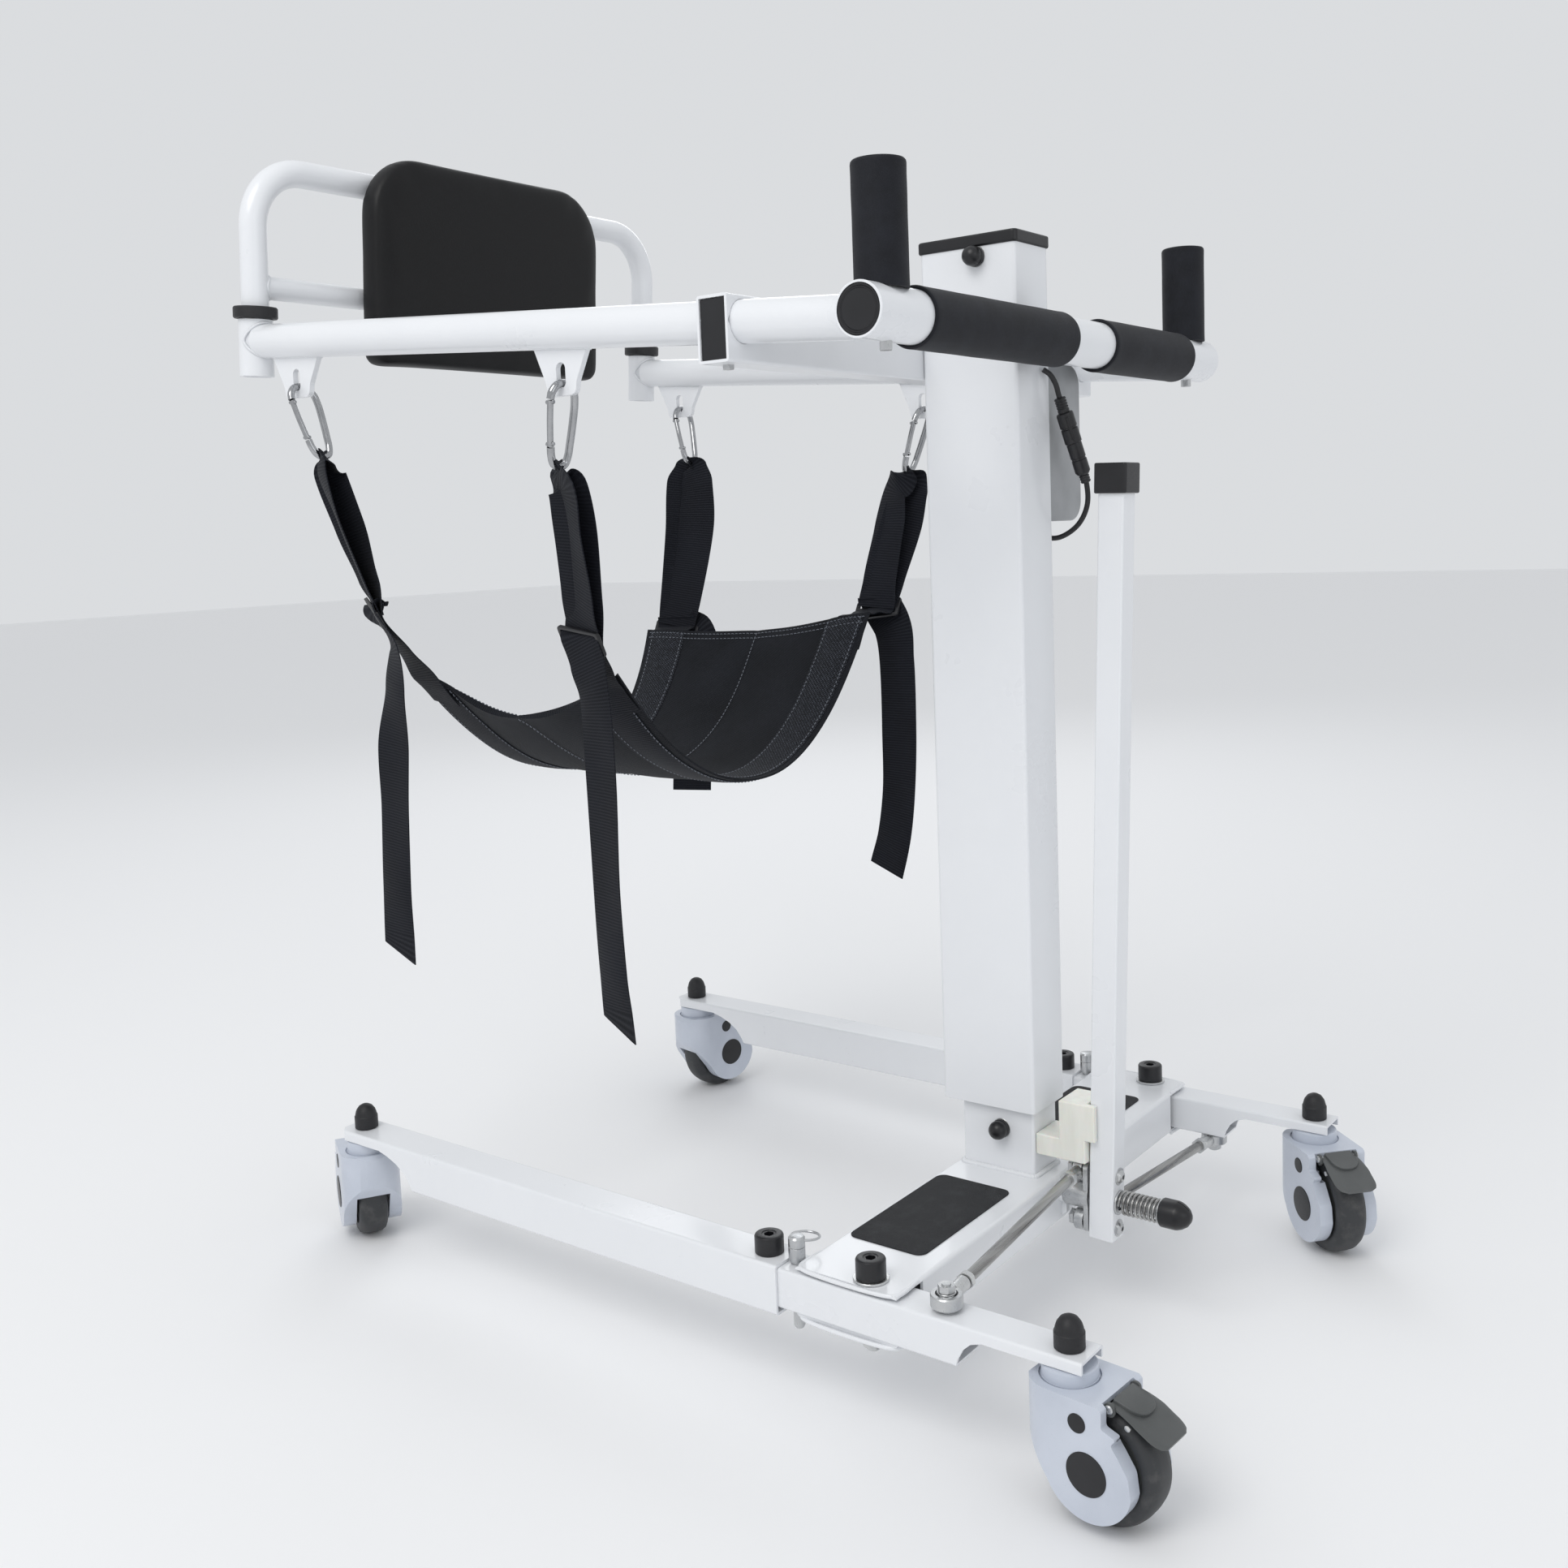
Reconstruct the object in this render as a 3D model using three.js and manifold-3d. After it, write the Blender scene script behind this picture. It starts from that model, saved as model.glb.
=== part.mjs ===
// Standing patient lift hoist. Units mm, +Z up, +X towards the near leg, -Y towards the open front.
import * as THREE from "three";
import { mergeVertices } from "three/addons/utils/BufferGeometryUtils.js";
import Module from "manifold-3d";

const wasm = await Module();
wasm.setup();

// ---------------------------------------------------------------- sizes
const SHIFT = [19.855, 236.88]; // moves the bounding box centre onto the origin
const G = 0.3; // gap between pieces that touch
const BEAM = { x: 292, y0: -69, y1: 35, z0: 87.3, z1: 132.3, wall: 3, notch: 251.5 };
const LEG = { x: 277, w: 42, z0: 84.3, z1: 129.3, y0: -686, y1: -86, wall: 2.5 };
const STUB = { w: 36.4, z0: 90.8, z1: 126.5, y0: -170, y1: 203, wall: 2.5 };
const CASTER = { r: 50, w: 31, trail: 31.7, top: 106, front: -665, rear: 184 };
const PIN_Y = -77.6; // quick-release pin of each leg
const ROD = { y: 74, r: 5, zNear: 135, zFar: 83 };
const PIV = { z: 118, arm: 25.5, r: 6 }; // lever pivot: height, stud distance and bolt radius
const MAST = { x: 31, y0: -78, y1: 22, z0: 197.6, z1: 1008, wall: 3 };
const INNER = { x: 23, y0: -61, y1: 17, z0: 132.6, z1: 950, wall: 3 };
const BOLT = { y: -18, low: 175, high: 998, hole: 5.3 }; // bolts through the mast
const BAR = { x: 315.8, y0: -110, y1: -78.4, z0: 893, z1: 947, wall: 2.5 };
const ARM = { x: 297, r: 17.5, wall: 2.5, y0: -730, z0: 975, rise: 59 / 778 };
const GUSSETS = [["front", -662, 37, 19], ["rear", -284, 33, 17]]; // place, half width at top and at foot
const HANDLE = { x: 318.9, y: 48, z: 919.5, r: 21.5 };
const LEVER = { w: 25, y: 67.2, z0: 82, z1: 806, lean: 0.0325 };
const HOOP = { r: 14, top: 177, low: 56, bend: 60 };
const armZ = (y) => ARM.z0 - (y - ARM.y0) * ARM.rise;
const TILT = Math.atan(ARM.rise);

// ---------------------------------------------------------------- solids
function solid(g) {
  const p = new THREE.BufferGeometry();
  const flat = g.index ? g.toNonIndexed() : g;
  p.setAttribute("position", flat.getAttribute("position").clone());
  const m = mergeVertices(p, 1e-4);
  const s = new wasm.Manifold(new wasm.Mesh({
    numProp: 3, vertProperties: m.attributes.position.array, triVerts: new Uint32Array(m.index.array),
  }));
  if (s.volume() < 0) throw new Error("solid is inside out");
  return s;
}
function geometry(s) {
  const m = s.getMesh();
  const g = new THREE.BufferGeometry();
  g.setAttribute("position", new THREE.BufferAttribute(new Float32Array(m.vertProperties), 3));
  g.setIndex(new THREE.BufferAttribute(new Uint32Array(m.triVerts), 1));
  return g;
}
const box = (x0, x1, y0, y1, z0, z1) => solid(
  new THREE.BoxGeometry(x1 - x0, y1 - y0, z1 - z0).translate((x0 + x1) / 2, (y0 + y1) / 2, (z0 + z1) / 2),
);
const V = (x, y, z) => new THREE.Vector3(x, y, z);
// A cylinder from p to q.
function rod(p, q, r, n = 12) {
  const d = q.clone().sub(p);
  const g = new THREE.CylinderGeometry(r, r, d.length(), n);
  g.applyQuaternion(new THREE.Quaternion().setFromUnitVectors(V(0, 1, 0), d.clone().normalize()));
  return solid(g.translate((p.x + q.x) / 2, (p.y + q.y) / 2, (p.z + q.z) / 2));
}
// A turned piece about Z: pairs of radius and height, from the bottom up, starting and ending on the axis.
const turned = (pairs, n = 12) =>
  solid(new THREE.LatheGeometry(pairs.map(([r, z]) => new THREE.Vector2(r, z)), n).rotateX(Math.PI / 2));
// A plate: its outline in two axes and its span on the third.
function plate(outline, a, b, plane) {
  const shape = new THREE.Shape(outline.map(([u, v]) => new THREE.Vector2(u, v)));
  const g = new THREE.ExtrudeGeometry(shape, { depth: b - a, bevelEnabled: false }).translate(0, 0, a);
  if (plane === "yz") g.applyMatrix4(new THREE.Matrix4().makeBasis(V(0, 1, 0), V(0, 0, 1), V(1, 0, 0)));
  if (plane === "xz") g.applyMatrix4(new THREE.Matrix4().makeBasis(V(1, 0, 0), V(0, 0, 1), V(0, -1, 0)));
  return solid(g);
}
// An outline rectangle with rounded corners.
function rounded(u0, u1, v0, v1, radii, n = 4) {
  const [a, b, c, d] = Array.isArray(radii) ? radii : [radii, radii, radii, radii];
  const corner = (cu, cv, r, from) =>
    r === 0 ? [[cu, cv]] : Array.from({ length: n + 1 }, (_, i) => {
      const t = ((from + (90 * i) / n) * Math.PI) / 180;
      return [cu + r * Math.cos(t), cv + r * Math.sin(t)];
    });
  return [
    ...corner(u1 - b, v0 + b, b, -90), ...corner(u1 - c, v1 - c, c, 0),
    ...corner(u0 + d, v1 - d, d, 90), ...corner(u0 + a, v0 + a, a, 180),
  ];
}
const ring = (r, n) => Array.from({ length: n }, (_, i) => {
  const t = (2 * Math.PI * i) / n;
  return [r * Math.cos(t), r * Math.sin(t)];
});
// A section swept along points. side is the direction of the section's first axis.
function sweep(points, section, side, closed = false) {
  const n = points.length, k = section.length, pos = [], idx = [];
  points.forEach((p, i) => {
    const a = closed ? points[(i + n - 1) % n] : points[Math.max(i - 1, 0)];
    const b = closed ? points[(i + 1) % n] : points[Math.min(i + 1, n - 1)];
    const t = b.clone().sub(a).normalize();
    const given = typeof side === "function" ? side(i / (n - 1)) : side;
    const u = given.clone().addScaledVector(t, -given.dot(t)).normalize();
    const w = t.clone().cross(u);
    for (const [x, y] of section) {
      const q = p.clone().addScaledVector(u, x).addScaledVector(w, y);
      pos.push(q.x, q.y, q.z);
    }
  });
  for (let i = 0; i < (closed ? n : n - 1); i++)
    for (let j = 0; j < k; j++) {
      const here = i * k, next = ((i + 1) % n) * k, j1 = (j + 1) % k;
      idx.push(here + j, here + j1, next + j1);
      idx.push(here + j, next + j1, next + j);
    }
  if (!closed)
    for (let j = 1; j < k - 1; j++) {
      idx.push(0, j + 1, j);
      idx.push((n - 1) * k, (n - 1) * k + j, (n - 1) * k + j + 1);
    }
  const g = new THREE.BufferGeometry();
  g.setAttribute("position", new THREE.Float32BufferAttribute(pos, 3));
  g.setIndex(idx);
  return solid(g);
}
// Points of a path whose corners are rounded.
function path(corners, radius, n = 5) {
  const out = [corners[0]];
  for (let i = 1; i < corners.length - 1; i++) {
    const p = corners[i];
    const a = corners[i - 1].clone().sub(p).normalize();
    const b = corners[i + 1].clone().sub(p).normalize();
    const half = Math.acos(THREE.MathUtils.clamp(a.dot(b), -1, 1)) / 2;
    const reach = radius / Math.tan(half);
    const c = p.clone().addScaledVector(a.clone().add(b).normalize(), radius / Math.sin(half));
    const s = p.clone().addScaledVector(a, reach).sub(c), e = p.clone().addScaledVector(b, reach).sub(c);
    const sweepAngle = Math.PI - 2 * half;
    for (let j = 0; j <= n; j++) {
      const f = j / n;
      const v = s.clone().multiplyScalar(Math.sin((1 - f) * sweepAngle));
      v.addScaledVector(e, Math.sin(f * sweepAngle)).divideScalar(Math.sin(sweepAngle));
      out.push(c.clone().add(v));
    }
  }
  out.push(corners[corners.length - 1]);
  return out;
}
const curve = (points, n) => new THREE.CatmullRomCurve3(points.map((p) => V(...p))).getPoints(n);
const sum = (...list) => list.reduce((a, b) => a.add(b));

// ---------------------------------------------------------------- looks
const COLOURS = {
  white_coat: 0xf1f2f4, zinc: 0xb4b7ba, chrome: 0xd0d2d4, black_plastic: 0x15161a, black_rubber: 0x1b1c20,
  foam: 0x1c1e24, vinyl: 0x121319, fabric: 0x14151b, grey_plastic: 0x5c5f61, caster_grey: 0xd5d9e0,
  tyre: 0x35363a, nylon: 0xefeee4, actuator_black: 0x1a1b1d, box_grey: 0x9fa2a6, cable: 0x101114,
};
const group = new THREE.Group();
group.name = "patient_lift_hoist";
function add(name, slot, made) {
  const s = made.decompose().sort((p, q) => q.volume() - p.volume())[0]; // drops slivers
  const look = new THREE.MeshStandardMaterial({ color: COLOURS[slot], name: slot });
  const mesh = new THREE.Mesh(geometry(s.translate([SHIFT[0], SHIFT[1], 0])), look);
  mesh.name = name;
  group.add(mesh);
}

// ---------------------------------------------------------------- base beam
{
  const b = BEAM, w = b.wall;
  let beam = plate(rounded(b.y0, b.y1, b.z0, b.z1, 4), -b.x, b.x, "yz");
  beam = beam.subtract(box(-b.x - 1, b.x + 1, b.y0 + w, b.y1 - w, b.z0 + w, b.z1 - w));
  for (const s of [1, -1]) {
    const notch = [s * b.notch, s * (b.x + 5)].sort((p, q) => p - q);
    beam = beam.subtract(box(...notch, b.y0 - 5, b.y1 + 5, b.z0 + w, b.z1 - w));
    const cheek = rounded(...[s * (b.notch + 3), s * (b.x - 2)].sort((p, q) => p - q), b.y0 + 3, b.y1 - 3, 8);
    beam = beam.add(plate(cheek, b.z0 - 3, b.z0 + 0.1, "xy"));
    beam = beam.subtract(rod(V(s * LEG.x, 0, 60), V(s * LEG.x, 0, 150), PIV.r + 0.3));
  }
  const boss = rod(V(0, b.y1 - 1, PIV.z), V(0, 40, PIV.z), 13);
  const rib = plate([[33, 90], [40, 96], [40, 112], [33, 112]], -3, 3, "yz");
  beam = sum(beam, boss, rib);
  beam = beam.subtract(rod(V(0, 20, PIV.z), V(0, 60, PIV.z), PIV.r + G));
  add("base_crossbeam", "white_coat", beam);
}

// ---------------------------------------------------------------- legs
// A screw cover with a recess in its top.
const cap = (z, r, h) => turned([
  [0, z], [r - 0.8, z], [r, z + 0.8], [r, z + h - 1.5], [r - 1.5, z + h], [5, z + h], [4.5, z + h - 5],
  [0, z + h - 5],
], 14);
for (const [side, s] of [["near", 1], ["far", -1]]) {
  const x = s * LEG.x, hw = LEG.w / 2, hs = STUB.w / 2;
  // front leg: outer tube, cut away under its front end to a channel
  let leg = plate(rounded(x - hw, x + hw, LEG.z0, LEG.z1, 3, 3), -LEG.y1, -LEG.y0, "xz");
  const inner = hw - LEG.wall;
  leg = leg.subtract(
    box(x - inner, x + inner, LEG.y0 - 5, LEG.y1 + 5, LEG.z0 + LEG.wall, LEG.z1 - LEG.wall),
  );
  const under = [
    [LEG.y0 - 5, 60], [-566, 60], [-568, LEG.z0], [-572, 92], [-580, 102], [-592, 110], [-606, 115.5],
    [-620, 119], [LEG.y0 - 5, 119],
  ];
  leg = leg.subtract(plate(under, x - 40, x + 40, "yz"));
  for (const t of [1, -1]) {
    const corner = [
      [x + t * (hw - 9), LEG.y0 - 1], [x + t * (hw + 1), LEG.y0 - 1], [x + t * (hw + 1), LEG.y0 + 10],
    ];
    leg = leg.subtract(plate(t > 0 ? corner : corner.reverse(), 100, 140, "xy"));
  }
  leg = leg.subtract(rod(V(x, CASTER.front, 100), V(x, CASTER.front, 140), 8.4));
  leg = leg.add(cap(LEG.z1 - 0.1, 13, 17).translate([x, -108, 0]));
  add(side + "_front_leg", "white_coat", leg);
  // leg stub: inner tube on the pivot, cut away under its rear end
  let stub = plate(rounded(x - hs, x + hs, STUB.z0, STUB.z1, 2.5, 3), -STUB.y1, -STUB.y0, "xz");
  const hollow = hs - STUB.wall;
  stub = stub.subtract(
    box(x - hollow, x + hollow, STUB.y0 - 5, STUB.y1 + 5, STUB.z0 + STUB.wall, STUB.z1 - STUB.wall),
  );
  const behind = [
    [86, 60], [STUB.y1 + 5, 60], [STUB.y1 + 5, 117], [116, 117], [106, 113.5], [99, 107], [94, 98],
    [92, STUB.z0],
  ];
  stub = stub.subtract(plate(behind, x - 40, x + 40, "yz"));
  for (const [y, r] of [[0, PIV.r + G], [PIN_Y, 5.3]])
    stub = stub.subtract(rod(V(x, y, 80), V(x, y, 140), r));
  stub = stub.subtract(rod(V(x, CASTER.rear, 100), V(x, CASTER.rear, 140), 8.4));
  // ball stud for the tie rod: on top of the near stub, under the far one
  const onY = (z) => V(x, ROD.y, z);
  const [ballZ, from, to, nut0, nut1] =
    s > 0 ? [ROD.zNear, STUB.z1 - 1, 147, 142.5, 148] : [ROD.zFar, 70, STUB.z0 + 1, 69, 74.5];
  const ball = solid(new THREE.SphereGeometry(8, 10, 6).rotateX(Math.PI / 2)).translate([x, ROD.y, ballZ]);
  const stud = rod(onY(from), onY(to), 4), nut = rod(onY(nut0), onY(nut1), 7, 6);
  add(side + "_leg_stub", "white_coat", sum(stub, stud, ball, nut));
  add(side + "_pivot_bolt", "zinc", sum(
    rod(V(x, 0, 72), V(x, 0, 140), PIV.r), rod(V(x, 0, 75), V(x, 0, 83.8), 10, 6),
    rod(V(x, 0, 132.6), V(x, 0, 134.8), 15), cap(134.7, 13, 17.5).translate([x, 0, 0])));
  // quick-release pin with its pull ring
  const loop = ring(12, 14).map(([u, v]) => V(x - 12 + u, PIN_Y + v, 146));
  const pin = turned([
    [0, 68], [4, 68], [5, 70], [5, 129.5], [7.4, 129.6], [7.4, 150], [6.2, 151.5], [0, 151.5],
  ]);
  const pull = sweep(loop, ring(1.1, 5), V(0, 0, 1), true);
  add(side + "_lock_pin", "zinc", sum(pin.translate([x, PIN_Y, 0]), pull));
}

// ---------------------------------------------------------------- casters
function caster(name, x, y, yaw, channel, top, brake) {
  const c = CASTER, t = c.trail;
  const place = (s) => s.rotate([0, 0, yaw]).translate([x, y, 0]);
  const arc = (r, from, to, n) => Array.from({ length: n + 1 }, (_, i) => {
    const a = ((from + ((to - from) * i) / n) * Math.PI) / 180;
    return [t + r * Math.cos(a), c.r + r * Math.sin(a)];
  });
  const outline = [
    ...arc(38, 205, 350, 9), [66, 62], [58, 74], [53, 82], [57, 86], [44, 90], [45, 103], [42, c.top],
    [-26, c.top], [-30, 102], [-31, 72],
  ];
  let fork = plate(outline, -c.w, c.w, "xz");
  const front = plate(rounded(-31, 23, -c.w, c.w, [25, 0, 0, 25], 4), 0, 140, "xy");
  fork = fork.intersect(sum(front, box(20, 90, -c.w, c.w, 0, 140)));
  const slot = 17.5; // half width of the wheel slot
  const round = rod(V(t, -slot, c.r), V(t, slot, c.r), 53.5, 28);
  fork = fork.subtract(sum(round, box(-45, 100, -slot, slot, -5, 44)));
  fork = fork.subtract(sum(box(36, 100, -23.2, 23.2, 88, 102), box(42.2, 100, -23.2, 23.2, 88, 108)));
  const axle = rod(V(t, -30, c.r), V(t, 30, c.r), 5, 16);
  const neck = channel - 0.6; // just under the leg's channel
  const collar = turned([
    [0, c.top - 1], [24.5, c.top - 1], [24.5, c.top + 1], [23, c.top + 2], [23, neck - 1.5], [21.5, neck],
    [0, neck],
  ], 20);
  fork = sum(fork, axle, collar).subtract(rod(V(0, 0, 80), V(0, 0, 130), 8.4));
  add(name + "_fork", "caster_grey", place(fork));
  const sides = 28;
  const tread = c.r / Math.cos(Math.PI / sides); // a flat of the tread meets the floor
  const wheel = turned([
    [5.3, -12], [37, -12], [38, -14.5], [46, -14.5], [tread, -7], [tread, 7], [46, 14.5], [38, 14.5],
    [37, 12], [5.3, 12], [5.3, -12],
  ], sides);
  const upright = wheel.rotate([0, 0, 180 / sides]).rotate([90, 0, 0]).translate([t, 0, c.r]);
  add(name + "_wheel", "tyre", place(upright));
  const stem = turned([
    [0, 95], [7, 95], [8, 96], [8, top + G], [12, top + G], [12.3, top + 13], [11, top + 18], [8, top + 22.5],
    [4, top + 25.5], [0, top + 26.3],
  ]);
  add(name + "_stem", "black_rubber", stem.translate([x, y, 0]));
  if (brake) {
    const pedal = [
      [44, 100], [50, 98.6], [60, 95], [74, 88.5], [90, 82], [91, 85], [80, 92], [66, 100], [52, 105],
      [45, 105],
    ];
    let p = plate(pedal, -21, 21, "xz");
    p = p.add(rod(V(46, -22.5, 101.8), V(46, 22.5, 101.8), 3, 10));
    add(name + "_brake_pedal", "grey_plastic", place(p));
  }
}
caster("near_front_caster", LEG.x, CASTER.front, -121, 119, LEG.z1, false);
caster("far_front_caster", -LEG.x, CASTER.front, 169.5, 119, LEG.z1, false);
caster("near_rear_caster", LEG.x, CASTER.rear, 85.3, 117, STUB.z1, true);
caster("far_rear_caster", -LEG.x, CASTER.rear, 47.4, 117, STUB.z1, true);

// ---------------------------------------------------------------- opening lever
{
  const z = PIV.z, up = z + PIV.arm, low = z - PIV.arm;
  const bolt = turned([
    [0, 0], [10, 0], [10, 6], [6, 6], [6, 116], [12, 116], [13.2, 117.5], [13.2, 127], [12, 133],
    [8.5, 137.5], [4, 139.6], [0, 140],
  ]);
  add("lever_pivot_bolt", "black_plastic", bolt.rotate([-90, 0, 0]).translate([0, 25.5, z]));
  const SPRING = { turns: 7.5, r: 10, y0: 96.6, length: 42.2, steps: 60 };
  const coil = Array.from({ length: SPRING.steps + 1 }, (_, i) => {
    const f = i / SPRING.steps, a = f * 2 * Math.PI * SPRING.turns;
    return V(SPRING.r * Math.cos(a), SPRING.y0 + SPRING.length * f, z + SPRING.r * Math.sin(a));
  });
  add("lever_spring", "zinc", sweep(coil, ring(1.5, 4), V(0, 1, 0)));
  let hub = sum(
    rod(V(0, 40.5, z), V(0, 66.5, z), 13.5), plate(rounded(-11, 11, 84, 151, 5), -66.5, -61.5, "xz"),
    rod(V(0, 46, up), V(0, 62, up), 5), rod(V(0, 46, low), V(0, 62, low), 5),
    rod(V(0, 44, up), V(0, 48.5, up), 8, 6), rod(V(0, 44, low), V(0, 48.5, low), 8, 6));
  hub = hub.subtract(rod(V(0, 30, z), V(0, 80, z), PIV.r + G));
  add("lever_hub", "zinc", hub);
  // tie rods: an eye on the hub stud, a threaded rod with nuts, and an eye round the ball on the leg
  for (const [side, s, zh, zl] of [["near", 1, up, ROD.zNear], ["far", -1, low, ROD.zFar]]) {
    const a = V(0, 55, zh), b = V(s * LEG.x, ROD.y, zl), span = b.clone().sub(a);
    const d = span.clone().normalize(), len = span.length();
    const shaft = turned([
      [0, 6], [5.4, 6], [5.4, 18], [6.5, 20], [6.5, 26], [8, 26], [8, 31], [4.6, 31], [4.6, len - 37],
      [8, len - 37], [8, len - 32], [6.5, len - 32], [6.5, len - 12], [0, len - 12],
    ]);
    const turn = new THREE.Quaternion().setFromUnitVectors(V(0, 0, 1), d);
    const aim = new THREE.Matrix4().makeRotationFromQuaternion(turn).setPosition(a);
    const atHub = (y0, y1, r, n) => rod(V(0, y0, zh), V(0, y1, zh), r, n);
    const atLeg = (k, r) => rod(V(b.x, b.y, zl - k), V(b.x, b.y, zl + k), r, 20);
    let tie = sum(shaft.transform(aim.toArray()), atHub(50.4, 59.6, 10.5, 16), atLeg(5.6, 13.5));
    tie = tie.subtract(sum(atHub(40, 70, 5.5), atLeg(9, 9.5)));
    add(side + "_tie_rod", "zinc", tie);
  }
  const L = LEVER, h = L.w / 2;
  const foot = 84, back = -THREE.MathUtils.radToDeg(Math.atan(L.lean)); // it leans back about its foot
  const lean = (s) => s.translate([0, -L.y, -foot]).rotate([back, 0, 0]).translate([0, L.y, foot]);
  let lever = plate(rounded(-h, h, L.y, L.y + L.w, 2, 3), L.z0, L.z1 - 26, "xy");
  lever = lever.subtract(box(-h + 2, h - 2, L.y + 2, L.y + L.w - 2, L.z0 - 5, L.z1));
  lever = lean(lever).subtract(rod(V(0, 60, z), V(0, 120, z), 9));
  add("leg_lever", "white_coat", lever);
  const over = 3.2; // how far the cap stands out round the tube
  const grip = rounded(-h - over, h + over, L.y - over, L.y + L.w + over, 3, 3);
  add("lever_cap", "black_plastic", lean(plate(grip, L.z1 - 25.6, L.z1 + 1.5, "xy")));
  const step = [
    [17.4, 155.5], [69, 155.5], [69, 178], [79, 178], [79, 213], [42, 213], [42, 176], [17.4, 176],
  ];
  let stop = plate(step, -20, 20, "yz");
  stop = stop.subtract(box(-25, 13.2, 69, 85, 150, 220));
  add("lever_stop_block", "nylon", stop);
}

// ---------------------------------------------------------------- mast
function tube(b, corner) {
  const w = b.wall;
  const outside = plate(rounded(-b.x, b.x, b.y0, b.y1, corner, 3), b.z0, b.z1, "xy");
  return outside.subtract(box(-b.x + w, b.x - w, b.y0 + w, b.y1 - w, b.z0 - 5, b.z1 + 5));
}
// A hole along X on the bolt line.
const boltHole = (z) => rod(V(-60, BOLT.y, z), V(60, BOLT.y, z), BOLT.hole);
add("mast_inner_tube", "white_coat", tube(INNER, 3).subtract(boltHole(BOLT.low)));
add("mast_outer_tube", "white_coat", tube(MAST, 4).subtract(boltHole(BOLT.high)));
{
  const m = MAST;
  const lid = plate(rounded(-m.x - 2, m.x + 2, m.y0 - 2, m.y1 + 2, 5), m.z1 + G, m.z1 + 10, "xy");
  const plug = plate(rounded(-m.x + 4, m.x - 4, m.y0 + 4, m.y1 - 4, 3), m.z1 - 1.5, m.z1 + 1, "xy");
  add("mast_cap", "black_plastic", sum(lid, plug));
}
function through(x, z) {
  const profile = [
    [0, -x - 6], [8, -x - 6], [8, -x - G], [5, -x - G], [5, x + G], [9, x + G], [9.3, x + 8], [7.5, x + 12.5],
    [3.5, x + 15], [0, x + 15.4],
  ];
  return turned(profile, 20).rotate([0, 90, 0]).translate([0, BOLT.y, z]);
}
add("mast_lower_bolt", "black_plastic", through(INNER.x, BOLT.low));
add("mast_upper_bolt", "black_plastic", through(MAST.x, BOLT.high));
{
  const housing = turned([[0, 160], [17, 160], [17, 560], [10, 560], [10, 200], [0, 200]]);
  add("actuator_body", "actuator_black", housing.translate([0, BOLT.y, 0]).subtract(boltHole(BOLT.low)));
  const ram = rod(V(0, BOLT.y, 206), V(0, BOLT.y, 1006), 9.6);
  add("actuator_rod", "chrome", ram.subtract(boltHole(BOLT.high)));
}

// ---------------------------------------------------------------- control box and cable
add("control_box", "box_grey", plate(rounded(-97, -31.3, 757, 905, [20, 20, 6, 6], 6), -19, 45, "xz"));
{
  // the two-part connector lies on the cable, from a down to b
  const a = V(-26, 33.5, 872), b = V(-52, 47, 791), span = b.clone().sub(a);
  const d = span.clone().normalize(), at = (k) => a.clone().addScaledVector(d, k);
  const cable = curve([
    [-14, 25.6, 876], [-20, 30, 884], [a.x, a.y, a.z], [-39, 40.2, 831.5], [b.x, b.y, b.z], [-56, 45, 770],
    [-59, 33, 752], [-62, 10, 741], [-64, -10, 745], [-64, -14, 756.4],
  ], 36);
  const connector = [[2, 16, 5.5], [16, 46, 8], [46, 76, 6.8], [76, span.length(), 4.6]];
  const shells = connector.map(([from, to, r]) => rod(at(from), at(to), r, 12));
  add("control_cable", "cable", sum(sweep(cable, ring(2.5, 6), V(1, 0.3, 0.2)), ...shells));
}

// ---------------------------------------------------------------- arms
const armLine = (s, off = 0) => [V(s * ARM.x, ARM.y0 + off, armZ(ARM.y0 + off)), V(s * ARM.x, 60, armZ(60))];
{
  const b = BAR, w = b.wall;
  let bar = plate(rounded(b.y0, b.y1, b.z0, b.z1, 3), -b.x, b.x, "yz");
  bar = bar.subtract(box(-b.x - 5, b.x + 5, b.y0 + w, b.y1 - w, b.z0 + w, b.z1 - w));
  for (const s of [1, -1]) bar = bar.subtract(rod(...armLine(s), ARM.r + G, 24));
  add("arm_crossbar", "white_coat", bar);
}
const upDir = V(0, Math.sin(TILT), Math.cos(TILT));
const GUSSET = { deep: 42, slot: 7 }; // depth of a hanger plate, and how far its slot stands off its foot
const gussetTop = (y) => armZ(y) - ARM.r + 1.5;
const WIRE = 3.6; // radius of a carabiner's wire
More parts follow.
